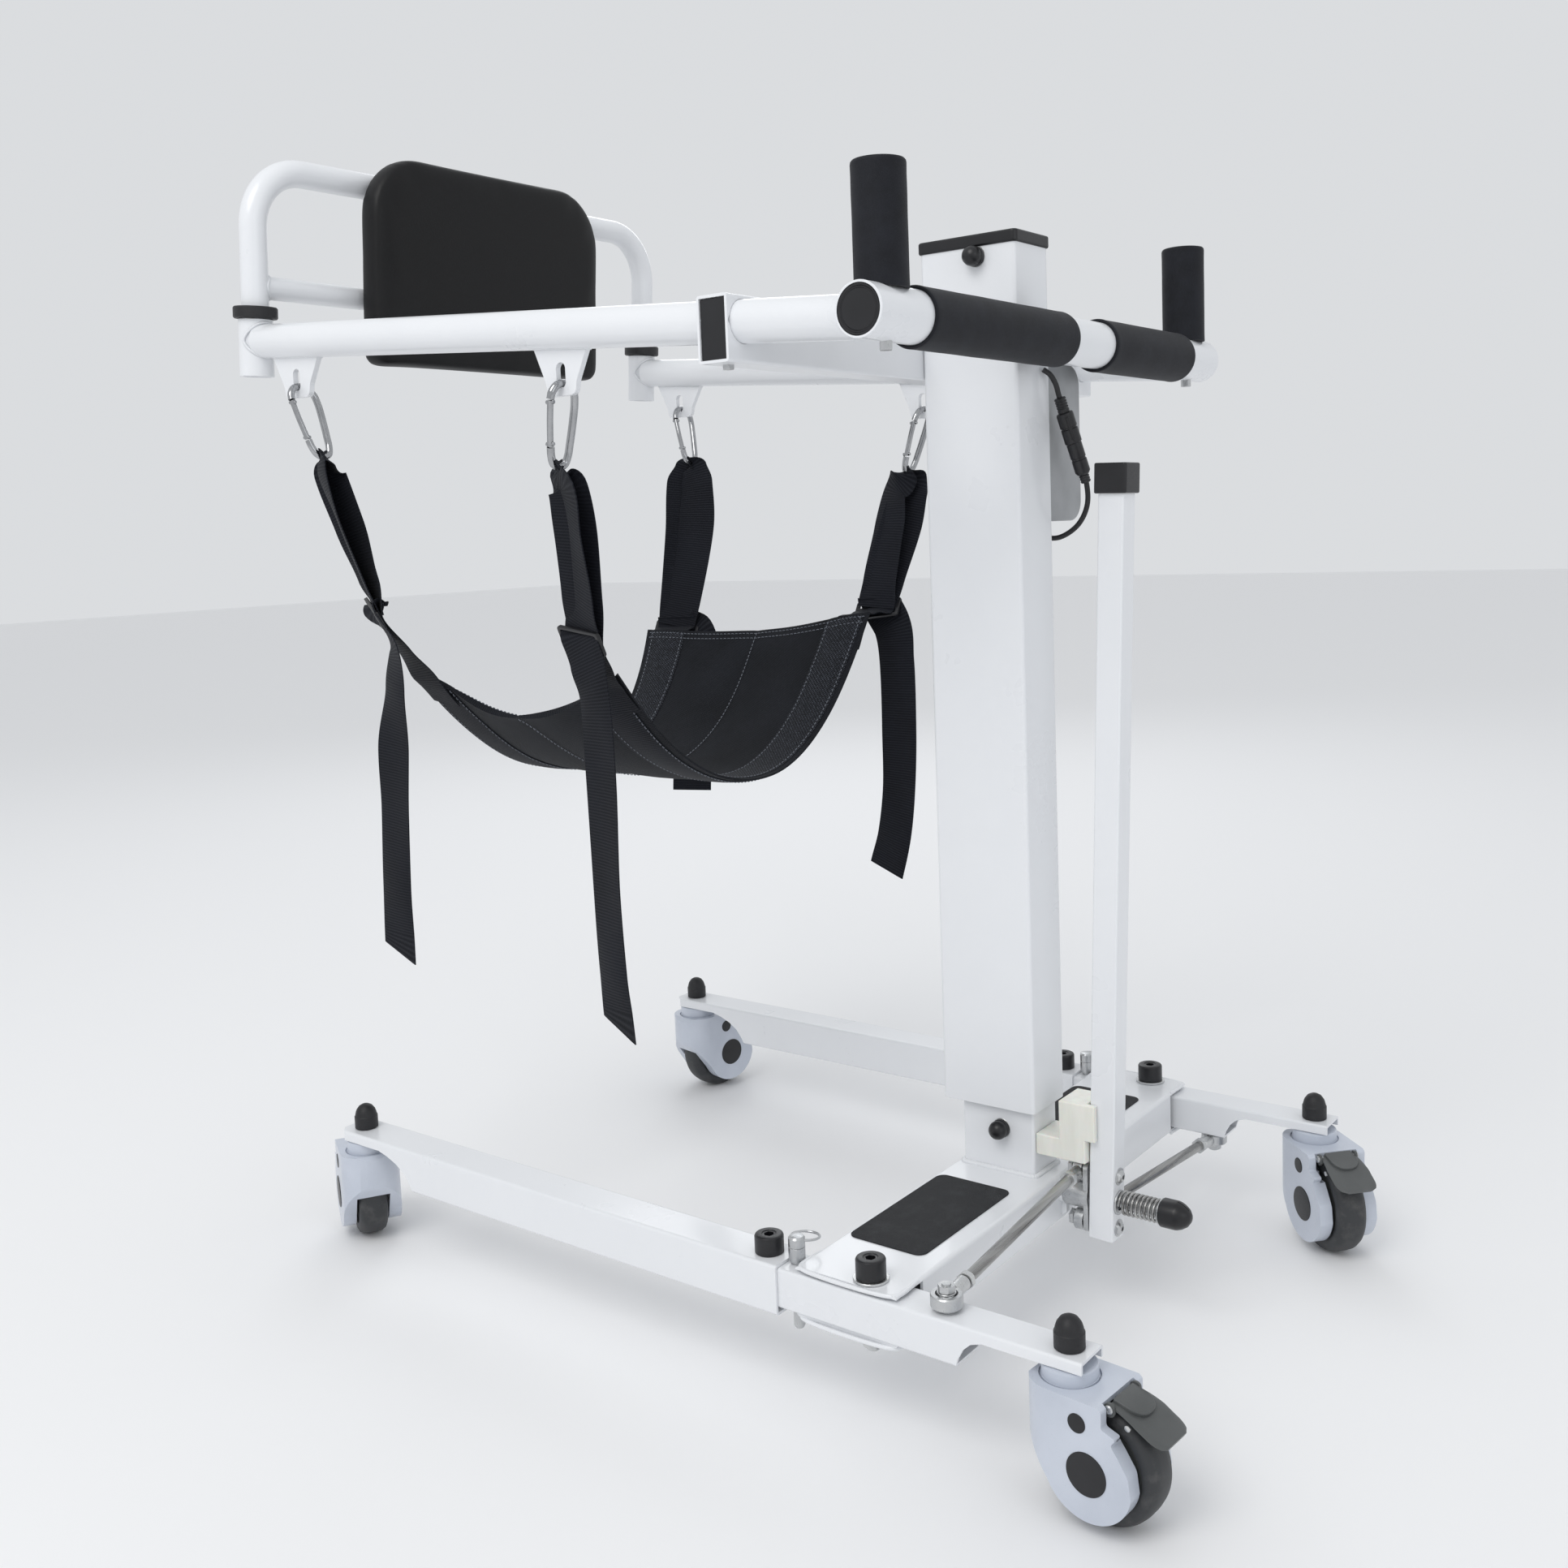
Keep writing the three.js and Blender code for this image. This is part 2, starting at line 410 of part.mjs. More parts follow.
for (const [side, s] of [["near", 1], ["far", -1]]) {
  const x = s * ARM.x, root = V(x, ARM.y0, ARM.z0);
  const at = (k) => root.clone().addScaledVector(upDir, k);
  const socket = rod(at(-36), at(23), ARM.r, 24);
  let arm = sum(rod(...armLine(s, 8), ARM.r, 24), socket);
  arm = arm.subtract(rod(armLine(s, 20)[0], V(x, 80, armZ(80)), ARM.r - ARM.wall, 20));
  arm = sum(arm, socket).subtract(rod(at(-31), at(30), HOOP.r + 0.5, 24));
  for (const [, y, top, low] of GUSSETS) {
    const zt = gussetTop(y), zb = zt - GUSSET.deep, fall = top * ARM.rise;
    const outline = [[y - low, zb], [y + low, zb], [y + top, zt - fall], [y - top, zt + fall]];
    const hole = rounded(y - 5.5, y + 5.5, zb + GUSSET.slot, zb + GUSSET.slot + 22, 5.4, 5);
    const hanger = plate(outline, x - 3, x + 3, "yz").subtract(plate(hole, x - 5, x + 5, "yz"));
    arm = arm.add(hanger);
  }
  arm = arm.subtract(rod(V(-400, HANDLE.y, HANDLE.z), V(400, HANDLE.y, HANDLE.z), HANDLE.r + G, 24));
  arm = arm.intersect(box(-500, 500, -900, HANDLE.y, 0, 1500));
  add(side + "_side_arm", "white_coat", arm);
  // carabiners, one in each slot
  for (const [end, y] of GUSSETS) {
    const top = gussetTop(y) - GUSSET.deep + GUSSET.slot + 4.3;
    const long = 72, reach = end === "front" ? 20 : -20; // it leans towards the sling by this much
    const half = [
      [0, 0], [8, -2], [13.5, -8], [15, -17], [14, -34], [12, -52], [10.5, -62], [7, -69.5], [0, -long],
    ];
    const loop = [...half, ...half.slice(1, -1).reverse().map(([u, v]) => [-u, v])].reverse();
    const pts = loop.map(([u, v]) => V(x + u + s * v * 0.12, y - (v * reach) / long, top + v));
    const closed = new THREE.CatmullRomCurve3(pts, true).getPoints(24).slice(0, -1);
    add(side + "_" + end + "_carabiner", "chrome", sweep(closed, ring(WIRE, 5), V(0, 1, 0), true));
  }
}
{
  const h = HANDLE;
  const along = (half, r) => rod(V(-half, h.y, h.z), V(half, h.y, h.z), r, 24);
  add("handle_bar", "white_coat", along(h.x, h.r).subtract(along(h.x + 5, h.r - 2.5)));
  for (const [side, x0, x1] of [["near", 4, 246], ["far", -252, -72]]) {
    const foam = turned([[0, x0], [22.5, x0], [24.2, x0 + 2], [24.2, x1 - 2], [22.5, x1], [0, x1]], 24);
    const lying = foam.rotate([0, 90, 0]).translate([0, h.y, h.z]);
    add(side + "_foam_grip", "foam", lying.subtract(along(400, h.r + G)));
  }
  for (const [side, x] of [["near", 283], ["far", -283]]) {
    let post = turned([[0, h.z], [21.5, h.z], [21.5, 1030], [20, 1032.5], [0, 1033]], 24);
    post = post.translate([x, h.y - 2, 0]).subtract(along(400, h.r + G));
    post = post.intersect(box(-500, 500, -100, 200, 936.2, 1100));
    add(side + "_post_grip", "foam", post);
  }
}

// ---------------------------------------------------------------- backrest
{
  const at = (x, k) => V(x, ARM.y0 + k * Math.sin(TILT), ARM.z0 + k * Math.cos(TILT));
  const feet = -30.5; // where the hoop ends, inside its sockets
  const corners = [at(ARM.x, feet), at(ARM.x, HOOP.top), at(-ARM.x, HOOP.top), at(-ARM.x, feet)];
  const hoop = path(corners, HOOP.bend, 5);
  const normal = V(0, Math.cos(TILT), -Math.sin(TILT));
  const rail = rod(at(-ARM.x, HOOP.low), at(ARM.x, HOOP.low), 12, 14);
  add("backrest_frame", "white_coat", sum(sweep(hoop, ring(HOOP.r, 14), normal), rail));
  const outline = rounded(-169, 169, -16, 206, [14, 14, 66, 66], 8).map(([u, v]) => new THREE.Vector2(u, v));
  const pad = new THREE.ExtrudeGeometry(new THREE.Shape(outline), {
    depth: 26, bevelEnabled: true, bevelSize: 4, bevelThickness: 4, bevelSegments: 2,
  });
  const place = new THREE.Matrix4().makeBasis(V(-1, 0, 0), upDir, normal);
  place.setPosition(V(5, ARM.y0, ARM.z0).addScaledVector(normal, HOOP.r + 4.4));
  add("backrest_pad", "vinyl", solid(pad.applyMatrix4(place)));
}

// ---------------------------------------------------------------- sling
{
  const SEAT = { x: 214, y: -466, half: 150, t: 3.5, low: 495, rise: 136, at: 216 };
  const sag = (x) => SEAT.low + SEAT.rise * (x / SEAT.at) ** 2;
  const band = (w, t) => [[-w, -t], [w, -t], [w, t], [-w, t]];
  const line = Array.from({ length: 17 }, (_, i) => -SEAT.x + (2 * SEAT.x * i) / 16);
  const seat = sweep(line.map((x) => V(x, SEAT.y, sag(x))), band(SEAT.half, SEAT.t), V(0, 1, 0));
  add("sling_seat", "fabric", seat);
  const HOOK_X = 288.36, BELOW_ARM = 118.7; // where a carabiner ends
  // each strap: its two ends along Y, and the foot of its loose tail
  const STRAPS = [
    ["near", 1, "front", -642, -596, 330], ["far", -1, "front", -642, -596, 425],
    ["near", 1, "rear", -304, -338, 292], ["far", -1, "rear", -304, -338, 350],
  ];
  for (const [side, s, end, y, y1, low] of STRAPS) {
    const top = s * HOOK_X, zt = armZ(end === "front" ? -662 : -284) - BELOW_ARM, inward = y1 - y;
    const main = curve([
      [top, y, zt - 7.6], [s * 276, y + inward * 0.2, zt - 70], [s * 262, y + inward * 0.6, 735],
      [s * 244, y1, 672], [s * 218.5, y1, sag(215) + 2],
    ], 14);
    const tail = curve([
      [s * 246, y1, 674], [s * 254, y1, 640], [s * 252, y1 - 4, 520], [s * 250, y1 - 2, low],
    ], 12);
    const loop = ring(7, 12).map(([u, v]) => V(top, y + u, zt + v));
    add(side + "_" + end + "_strap", "fabric", sum(
      sweep(main, band(23, 2.4), V(0, 1, 0)),
      sweep(tail, band(22, 1.6), V(0, 1, 0)),
      sweep(loop, band(4.4, 1.4), V(1, 0, 0), true),
    ));
  }
}

export default group;
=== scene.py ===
"""Standing patient lift hoist. Blender works in metres, +Z up, +X near side, -Y open front.

Sizes below are in millimetres, measured from the floor point midway between the two leg pivots.
"""
import math

import bmesh
import bpy
import numpy as np
from mathutils import Matrix, Vector, noise


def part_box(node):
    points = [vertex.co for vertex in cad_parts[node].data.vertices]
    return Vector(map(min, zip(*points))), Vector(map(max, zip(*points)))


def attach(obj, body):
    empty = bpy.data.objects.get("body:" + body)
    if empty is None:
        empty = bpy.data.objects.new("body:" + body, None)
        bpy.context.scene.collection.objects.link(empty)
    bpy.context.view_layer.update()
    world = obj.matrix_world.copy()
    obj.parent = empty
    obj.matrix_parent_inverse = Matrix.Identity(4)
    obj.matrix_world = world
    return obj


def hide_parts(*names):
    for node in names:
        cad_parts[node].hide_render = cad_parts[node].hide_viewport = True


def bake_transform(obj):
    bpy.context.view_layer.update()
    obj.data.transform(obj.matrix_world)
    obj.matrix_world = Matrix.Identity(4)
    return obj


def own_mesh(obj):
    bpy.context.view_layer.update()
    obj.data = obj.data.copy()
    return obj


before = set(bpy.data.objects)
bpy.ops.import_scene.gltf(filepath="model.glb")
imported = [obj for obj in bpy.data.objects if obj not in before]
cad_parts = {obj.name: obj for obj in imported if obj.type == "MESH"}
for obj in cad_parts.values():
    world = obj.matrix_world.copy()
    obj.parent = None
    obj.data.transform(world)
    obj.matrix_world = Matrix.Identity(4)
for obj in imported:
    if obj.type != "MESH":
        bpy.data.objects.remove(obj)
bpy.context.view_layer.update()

# ---------------------------------------------------------------- driving sizes
MM = 0.001
near_pivot, far_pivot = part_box("near_pivot_bolt"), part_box("far_pivot_bolt")
PIVOTS = Vector(((near_pivot[0].x + far_pivot[1].x) / 2, (near_pivot[0].y + near_pivot[1].y) / 2, 0))
BEAM = {"x": 292, "y0": -69, "y1": 35, "top": 132.3, "bottom": 87.3}
LEG = {"x": 277, "top": 129.3, "front": -665, "rear": 184}
STUB = {"top": 126.5, "bottom": 90.8}
PIN_Y = -77.6
ROD = {"y": 74, "near": 135, "far": 83}
PIVOT_Z, STUD_ARM = 118, 25.5
MAST = {"x": 31, "y0": -78, "y1": 22, "top": 1008}
INNER = {"x": 23, "y0": -61, "y1": 17}
BOLT_Y = -18
BAR = {"x": 315.8, "y0": -110, "y1": -78.4, "z0": 893, "z1": 947}
ARM = {"x": 297, "r": 17.5, "y0": -730, "z0": 975, "slope": 59 / 778}
HANDLE = {"x": 318.9, "y": 48, "z": 919.5, "r": 21.5}
LEVER = {"y": 67.2, "back": 92.2, "foot": 84, "lean": 0.0325}
HOOP = {"r": 14, "top": 177, "low": 56, "bend": 60}
WHEEL = {"r": 50, "trail": 31.7, "top": 106}
BOX = {"x0": -97, "x1": -31.3, "z0": 757, "z1": 905, "y0": -45, "y1": 19}
SEAT = {"x": 214, "y0": -616, "y1": -316, "low": 495, "rise": 136, "at": 216}
TILT = math.atan(ARM["slope"])
UP_ARM = Vector((0, math.sin(TILT), math.cos(TILT)))
OUT_BACK = Vector((0, math.cos(TILT), -math.sin(TILT)))
X, Y, Z = Vector((1, 0, 0)), Vector((0, 1, 0)), Vector((0, 0, 1))
SIDES = (("near", 1), ("far", -1))
HANGERS = {"front": {"y": -662, "top": 37, "foot": 19, "lean": 20},
           "rear": {"y": -284, "top": 33, "foot": 17, "lean": -20}}
GUSSET = 42   # height of the gusset plates under the arms
CAMERA = {"place": (1307.0, 724.9, 757.8), "turn": (127.1, 6.4, -2.2), "lens": 36.185,
          "shift": (-0.00875, -0.0490)}
MIDDLE = (0, 0, 0.6)
LAMPS = (("key_softbox", (2.6, 0.2, 3.2), 2.2, 44, (1.0, 0.99, 0.975)),
         ("side_softbox", (1.2, 3.2, 1.6), 1.6, 6, (0.94, 0.97, 1.0)),
         ("back_softbox", (-2.8, -2.2, 2.6), 2.0, 17, (0.95, 0.975, 1.0)))


def arm_z(y):
    return ARM["z0"] - (y - ARM["y0"]) * ARM["slope"]


def on_frame(v):
    """A point in metres in the frame, from millimetres about the pivots."""
    return PIVOTS + Vector(v) * MM


# ---------------------------------------------------------------- camera, floor and lights
def make_camera():
    """The main view."""
    data = bpy.data.cameras.new("camera")
    data.sensor_width = 36
    data.lens = CAMERA["lens"]
    data.shift_x, data.shift_y = CAMERA["shift"]
    data.clip_start, data.clip_end = 0.05, 60
    camera = bpy.data.objects.new("camera", data)
    bpy.context.collection.objects.link(camera)
    azimuth, pitch, roll = (math.radians(a) for a in CAMERA["turn"])
    ahead = Vector((-math.sin(azimuth) * math.cos(pitch), math.cos(azimuth) * math.cos(pitch),
                    -math.sin(pitch)))
    right = Vector((math.cos(azimuth), math.sin(azimuth), 0))
    up = right.cross(ahead)
    across = right * math.cos(roll) + up * math.sin(roll)
    above = up * math.cos(roll) - right * math.sin(roll)
    turn = Matrix((across, above, -ahead)).transposed().to_4x4()
    camera.matrix_world = Matrix.Translation(on_frame(CAMERA["place"])) @ turn
    bpy.context.scene.camera = camera


def area_light(name, place, size, watts, tint):
    """A soft round lamp facing the middle of the object."""
    data = bpy.data.lights.new(name, "AREA")
    data.shape, data.size, data.energy, data.color = "DISK", size, watts, tint
    lamp = bpy.data.objects.new(name, data)
    bpy.context.collection.objects.link(lamp)
    lamp.location = place
    lamp.rotation_euler = (Vector(MIDDLE) - Vector(place)).to_track_quat("-Z", "Y").to_euler()


def make_room():
    """A pale floor, a near-white world and the lamps."""
    floor = bpy.data.meshes.new("floor")
    half = 18
    floor.from_pydata([(-half, -half, 0), (half, -half, 0), (half, half, 0), (-half, half, 0)], [],
                      [(0, 1, 2, 3)])
    obj = bpy.data.objects.new("floor", floor)
    bpy.context.collection.objects.link(obj)
    pale = bpy.data.materials.new("pale_floor")
    pale.use_nodes = True
    shader = pale.node_tree.nodes["Principled BSDF"]
    shader.inputs["Base Color"].default_value = (0.90, 0.90, 0.905, 1)
    shader.inputs["Roughness"].default_value = 0.75
    floor.materials.append(pale)
    world = bpy.data.worlds.new("studio")
    bpy.context.scene.world = world
    world.use_nodes = True
    world.node_tree.nodes["Background"].inputs["Color"].default_value = (0.955, 0.975, 1.0, 1)
    world.node_tree.nodes["Background"].inputs["Strength"].default_value = 0.74
    for lamp in LAMPS:
        area_light(*lamp)
    bpy.context.scene.view_settings.view_transform = "Standard"


make_camera()
make_room()


# ---------------------------------------------------------------- shader expressions
class Sum:
    """A number in a shader: + - * on it add Math nodes."""

    def __init__(self, finish, socket):
        self.finish, self.socket = finish, socket

    def math(self, operation, first, second=0.0):
        return self.finish.node("ShaderNodeMath", {"operation": operation}, {0: first, 1: second})

    def __add__(self, other):
        return self.math("ADD", self, other)

    def __sub__(self, other):
        return self.math("SUBTRACT", self, other)

    def __rsub__(self, other):
        return self.math("SUBTRACT", other, self)

    def __mul__(self, other):
        return self.math("MULTIPLY", self, other)

    def wave(self):
        return self.math("SINE", self)

    def size(self):
        return self.math("ABSOLUTE", self)

    def least(self, other):
        return self.math("MINIMUM", self, other)

    __radd__, __rmul__ = __add__, __mul__


class Finish:
    """One material. node() adds any node: its settings first, then its inputs as values or links."""

    def __init__(self, name, **constants):
        self.material = bpy.data.materials.new(name)
        self.material.use_nodes = True
        self.tree = self.material.node_tree
        self.shader = self.tree.nodes["Principled BSDF"]
        for socket, value in constants.items():
            self.shader.inputs[socket.replace("_", " ")].default_value = value

    def node(self, kind, settings=None, inputs=None, output=0):
        made = self.tree.nodes.new(kind)
        for key, value in (settings or {}).items():
            setattr(made, key, value)
        for key, value in (inputs or {}).items():
            self.feed(made.inputs[key], value)
        return Sum(self, made.outputs[output])

    def feed(self, socket, value):
        if isinstance(value, Sum):
            self.tree.links.new(value.socket, socket)
        else:
            socket.default_value = value

    def give(self, **links):
        for socket, value in links.items():
            self.feed(self.shader.inputs[socket.replace("_", " ")], value)

    def place(self, stretch=(1, 1, 1)):
        """Object coordinates in metres, stretched."""
        where = self.node("ShaderNodeTexCoord", output="Object")
        return self.node("ShaderNodeMapping", {}, {"Vector": where, "Scale": stretch})

    def cloth_axes(self):
        """The piece's own UV map in metres, as two numbers."""
        uv = self.node("ShaderNodeUVMap", {"uv_map": "cut"})
        parts = self.tree.nodes.new("ShaderNodeSeparateXYZ")
        self.tree.links.new(uv.socket, parts.inputs[0])
        return Sum(self, parts.outputs[0]), Sum(self, parts.outputs[1])

    def grain(self, scale, detail=3, rough=0.5, stretch=(1, 1, 1)):
        return self.node("ShaderNodeTexNoise", {}, {"Vector": self.place(stretch), "Scale": scale,
                                                    "Detail": detail, "Roughness": rough}, "Fac")

    def cells(self, scale):
        return self.node("ShaderNodeTexVoronoi", {}, {"Vector": self.place(), "Scale": scale}, "Distance")

    def ramp(self, value, low, high, start=0.0, end=1.0):
        """value from low..high turned to start..end, held at both ends."""
        return self.node("ShaderNodeMapRange", {"clamp": True},
                         {"Value": value, "From Min": low, "From Max": high, "To Min": start, "To Max": end})

    def blend(self, factor, first, second):
        """A mix of two colours."""
        made = self.tree.nodes.new("ShaderNodeMix")
        made.data_type = "RGBA"
        for index, value in ((0, factor), (6, first), (7, second)):
            self.feed(made.inputs[index], value if isinstance(value, Sum) or index == 0 else (*value, 1))
        return Sum(self, made.outputs[2])

    def bump(self, height, strength, distance):
        return self.node("ShaderNodeBump", {}, {"Height": height, "Strength": strength, "Distance": distance})


def white_coat():
    f = Finish("white_powder_coat", Coat_Weight=0.35, Coat_Roughness=0.12)
    peel = f.grain(420, 2, 0.5)
    cloud = f.grain(9, 4, 0.6)
    scuff = f.ramp(f.grain(130, 5, 0.72, (1, 1, 2.4)), 0.665, 0.72)
    height = f.node("ShaderNodeSeparateXYZ", {}, {0: f.place()}, 2)
    low_down = f.ramp(height, 0.06, 0.30, 0.75, 0.04)
    patch = f.ramp(f.grain(14, 2), 0.56, 0.7)
    worn = scuff * low_down * patch
    clean = f.blend(f.ramp(cloud, 0.25, 0.75), (0.80, 0.815, 0.84), (0.825, 0.838, 0.86))
    f.give(Base_Color=f.blend(worn, clean, (0.33, 0.32, 0.31)),
           Roughness=f.ramp(cloud, 0.2, 0.8, 0.26, 0.31) + worn * 0.35,
           Normal=f.bump(peel - worn * 0.6, 0.10, 0.0005))
    return f.material


def zinc_plate():
    f = Finish("zinc_plate", Metallic=1.0)
    tint = f.ramp(f.grain(38, 4), 0.35, 0.65)
    brushed = f.grain(700, 3, 0.6, (1, 1, 0.25))
    f.give(Base_Color=f.blend(tint, (0.50, 0.51, 0.52), (0.66, 0.665, 0.66)),
           Roughness=f.ramp(brushed, 0.3, 0.7, 0.24, 0.42), Normal=f.bump(brushed, 0.18, 0.0003))
    return f.material


def rolled_steel():
    f = Finish("rolled_rod", Metallic=1.0)
    streak = f.grain(60, 5, 0.65, (0.05, 1, 1))
    f.give(Base_Color=f.blend(f.ramp(streak, 0.35, 0.6), (0.20, 0.195, 0.19), (0.52, 0.52, 0.51)),
           Roughness=f.ramp(streak, 0.3, 0.7, 0.2, 0.4), Normal=f.bump(streak, 0.25, 0.0004))
    return f.material


def bright_chrome():
    f = Finish("bright_chrome", Metallic=1.0)
    smear = f.grain(90, 4, 0.6)
    f.give(Base_Color=f.blend(smear, (0.30, 0.305, 0.315), (0.50, 0.505, 0.515)),
           Roughness=f.ramp(smear, 0.3, 0.7, 0.06, 0.17), Normal=f.bump(f.grain(380, 2), 0.08, 0.0004))
    return f.material


def moulding(name, dark, light, rough, pores, strength, **constants):
    """Moulded plastic or rubber: fine pores, a cloudy tone and uneven gloss."""
    f = Finish(name, **constants)
    cloud = f.ramp(f.grain(24, 4), 0.3, 0.7)
    fine = f.grain(pores, 3, 0.6)
    f.give(Base_Color=f.blend(cloud, dark, light), Roughness=f.ramp(fine, 0.3, 0.7, rough - 0.07,
                                                                    rough + 0.07),
           Normal=f.bump(fine, strength, 0.0003))
    return f.material


def cell_foam():
    f = Finish("closed_cell_foam", Sheen_Weight=0.05, Sheen_Roughness=0.5, Specular_IOR_Level=0.3)
    cells = f.cells(1500)
    dent = f.grain(60, 3, 0.55)
    f.give(Base_Color=f.blend(f.ramp(dent, 0.3, 0.7), (0.0042, 0.0050, 0.0082), (0.0085, 0.0098, 0.0150)),
           Roughness=f.ramp(cells, 0.0, 0.6, 0.86, 0.68), Normal=f.bump(cells * 0.7 + dent, 0.22, 0.0004))
    return f.material


def pad_skin():
    f = Finish("moulded_pad_skin", Specular_IOR_Level=0.3)
    grain = f.cells(620)
    pores = f.grain(1400, 2)
    cloud = f.ramp(f.grain(11, 4), 0.3, 0.7)
    f.give(Base_Color=f.blend(cloud, (0.0024, 0.0024, 0.003), (0.005, 0.005, 0.006)),
           Roughness=f.ramp(cloud, 0.0, 1.0, 0.44, 0.56), Normal=f.bump(grain + pores * 0.3, 0.2, 0.0003))
    return f.material


def webbing():
    """Woven strap: chevron ribs along it, with a bound edge on both sides. The rib crests carry a painted
    highlight, a lighter colour where the raised ribs would catch light.
    """
    f = Finish("woven_webbing", Sheen_Weight=0.04, Sheen_Roughness=0.4, Specular_IOR_Level=0.2)
    across, along = f.cloth_axes()
    chevron = ((across * 1100).wave().size() * 0.9 + along * 2100).wave()
    thread = (across * 5200).wave() * 0.5 + 0.5
    edge = f.ramp((across - 0.025).size(), 0.0215, 0.0235)
    lint = f.ramp(f.grain(900, 4, 0.7), 0.62, 0.7)
    tone = f.ramp(f.grain(16, 4), 0.3, 0.7)
    body = f.blend(tone, (0.0034, 0.0042, 0.0072), (0.0066, 0.0080, 0.0130))
    # painted highlight: the chevron rib crests are coloured lighter than the body, standing in for light
    # caught by the raised ribs; their relief itself is in the bump
    painted_rib_highlight = f.blend(f.ramp(chevron, -0.2, 1.0) * 0.6, body, (0.015, 0.0165, 0.023))
    f.give(Base_Color=f.blend(lint * 0.25, painted_rib_highlight, (0.07, 0.075, 0.09)),
           Roughness=f.ramp(chevron, -1, 1, 0.86, 0.66),
           Normal=f.bump((chevron * 0.5 + 0.5) * (1 - edge) + thread * 0.4 + edge * 0.7, 0.55, 0.0005))
    return f.material


def seat_cloth():
    """Twill cloth with a soft nap."""
    f = Finish("seat_twill", Sheen_Weight=0.05, Sheen_Roughness=0.45, Specular_IOR_Level=0.2)
    across, along = f.cloth_axes()
    twill = (across * 2400 + along * 2400).wave()
    weft = (across * 3600).wave() * (along * 3600).wave()
    tone = f.ramp(f.grain(13, 5, 0.6), 0.32, 0.68)
    lint = f.ramp(f.grain(1100, 4, 0.7), 0.63, 0.7)
    body = f.blend(tone, (0.0045, 0.0055, 0.008), (0.010, 0.0115, 0.016))
    f.give(Base_Color=f.blend(lint * 0.22, body, (0.06, 0.065, 0.08)),
           Roughness=f.ramp(twill, -1, 1, 0.92, 0.76),
           Normal=f.bump(twill * 0.6 + weft * 0.5 + f.grain(55, 3) * 1.2, 0.5, 0.0005))
    return f.material


def mesh_band():
    """The reinforcing band on the seat: an open lozenge mesh with pale threads."""
    f = Finish("lozenge_band", Sheen_Weight=0.06, Specular_IOR_Level=0.2)
    across, along = f.cloth_axes()
    one = ((across + along) * 820).wave().size()
    two = ((across - along) * 820).wave().size()
    net = f.ramp(one.least(two), 0.0, 0.42, 1.0, 0.0)
    speck = f.ramp(f.grain(600, 3), 0.4, 0.62)
    f.give(Base_Color=f.blend(net * speck, (0.005, 0.006, 0.009), (0.13, 0.145, 0.18)),
           Roughness=f.ramp(net, 0, 1, 0.9, 0.7), Normal=f.bump(net, 0.8, 0.0006))
    return f.material


def sewing_thread():
    f = Finish("sewing_thread", Sheen_Weight=0.3)
    twist = (f.grain(2400, 2) * 6).wave()
    f.give(Base_Color=f.blend(f.ramp(twist, -1, 1), (0.085, 0.095, 0.12), (0.22, 0.24, 0.28)),
           Roughness=f.ramp(twist, -1, 1, 0.6, 0.8), Normal=f.bump(twist, 0.4, 0.0002))
    return f.material


def grip_tape():
    """Gritty anti-slip sheet."""
    f = Finish("grip_tape")
    grit = f.cells(1300)
    speck = f.ramp(f.grain(1500, 3, 0.7), 0.6, 0.7)
    dusty = f.ramp(f.grain(45, 5, 0.7), 0.5, 0.75)
    stone = f.blend(speck * 0.5 + dusty * 0.22, (0.012, 0.013, 0.0155), (0.09, 0.092, 0.10))
    f.give(Base_Color=stone, Roughness=f.ramp(grit, 0.0, 0.6, 0.95, 0.7), Normal=f.bump(grit, 1.0, 0.0008))
    return f.material


def caster_shell():
    f = Finish("caster_shell", Coat_Weight=0.3, Coat_Roughness=0.2)
    cloud = f.ramp(f.grain(17, 4), 0.3, 0.7)
    fine = f.grain(950, 3)
    scratch = f.ramp(f.grain(160, 5, 0.7, (1, 1, 3)), 0.66, 0.72) * 0.3
    shell = f.blend(cloud, (0.51, 0.55, 0.63), (0.60, 0.64, 0.72))
    f.give(Base_Color=f.blend(scratch, shell, (0.32, 0.33, 0.36)),
           Roughness=f.ramp(fine, 0.3, 0.7, 0.27, 0.39),
           Normal=f.bump(fine, 0.08, 0.0003))
    return f.material


def soft_tread():
    f = Finish("soft_tread")
    fine = f.grain(900, 3)
    dust = f.ramp(f.grain(50, 5, 0.7), 0.5, 0.72)
    f.give(Base_Color=f.blend(dust, (0.030, 0.032, 0.035), (0.075, 0.075, 0.075)),
           Roughness=f.ramp(dust, 0, 1, 0.5, 0.72), Normal=f.bump(fine, 0.25, 0.0003))
    return f.material


def nylon_block():
    f = Finish("milky_nylon", Subsurface_Weight=0.25, Subsurface_Scale=0.006)
    mill = f.grain(140, 3, 0.5, (1, 1, 0.15))
    f.give(Base_Color=f.blend(f.ramp(mill, 0.3, 0.7), (0.80, 0.80, 0.73), (0.87, 0.87, 0.81)),
           Roughness=f.ramp(mill, 0.3, 0.7, 0.3, 0.46), Normal=f.bump(mill, 0.12, 0.0004))
    return f.material


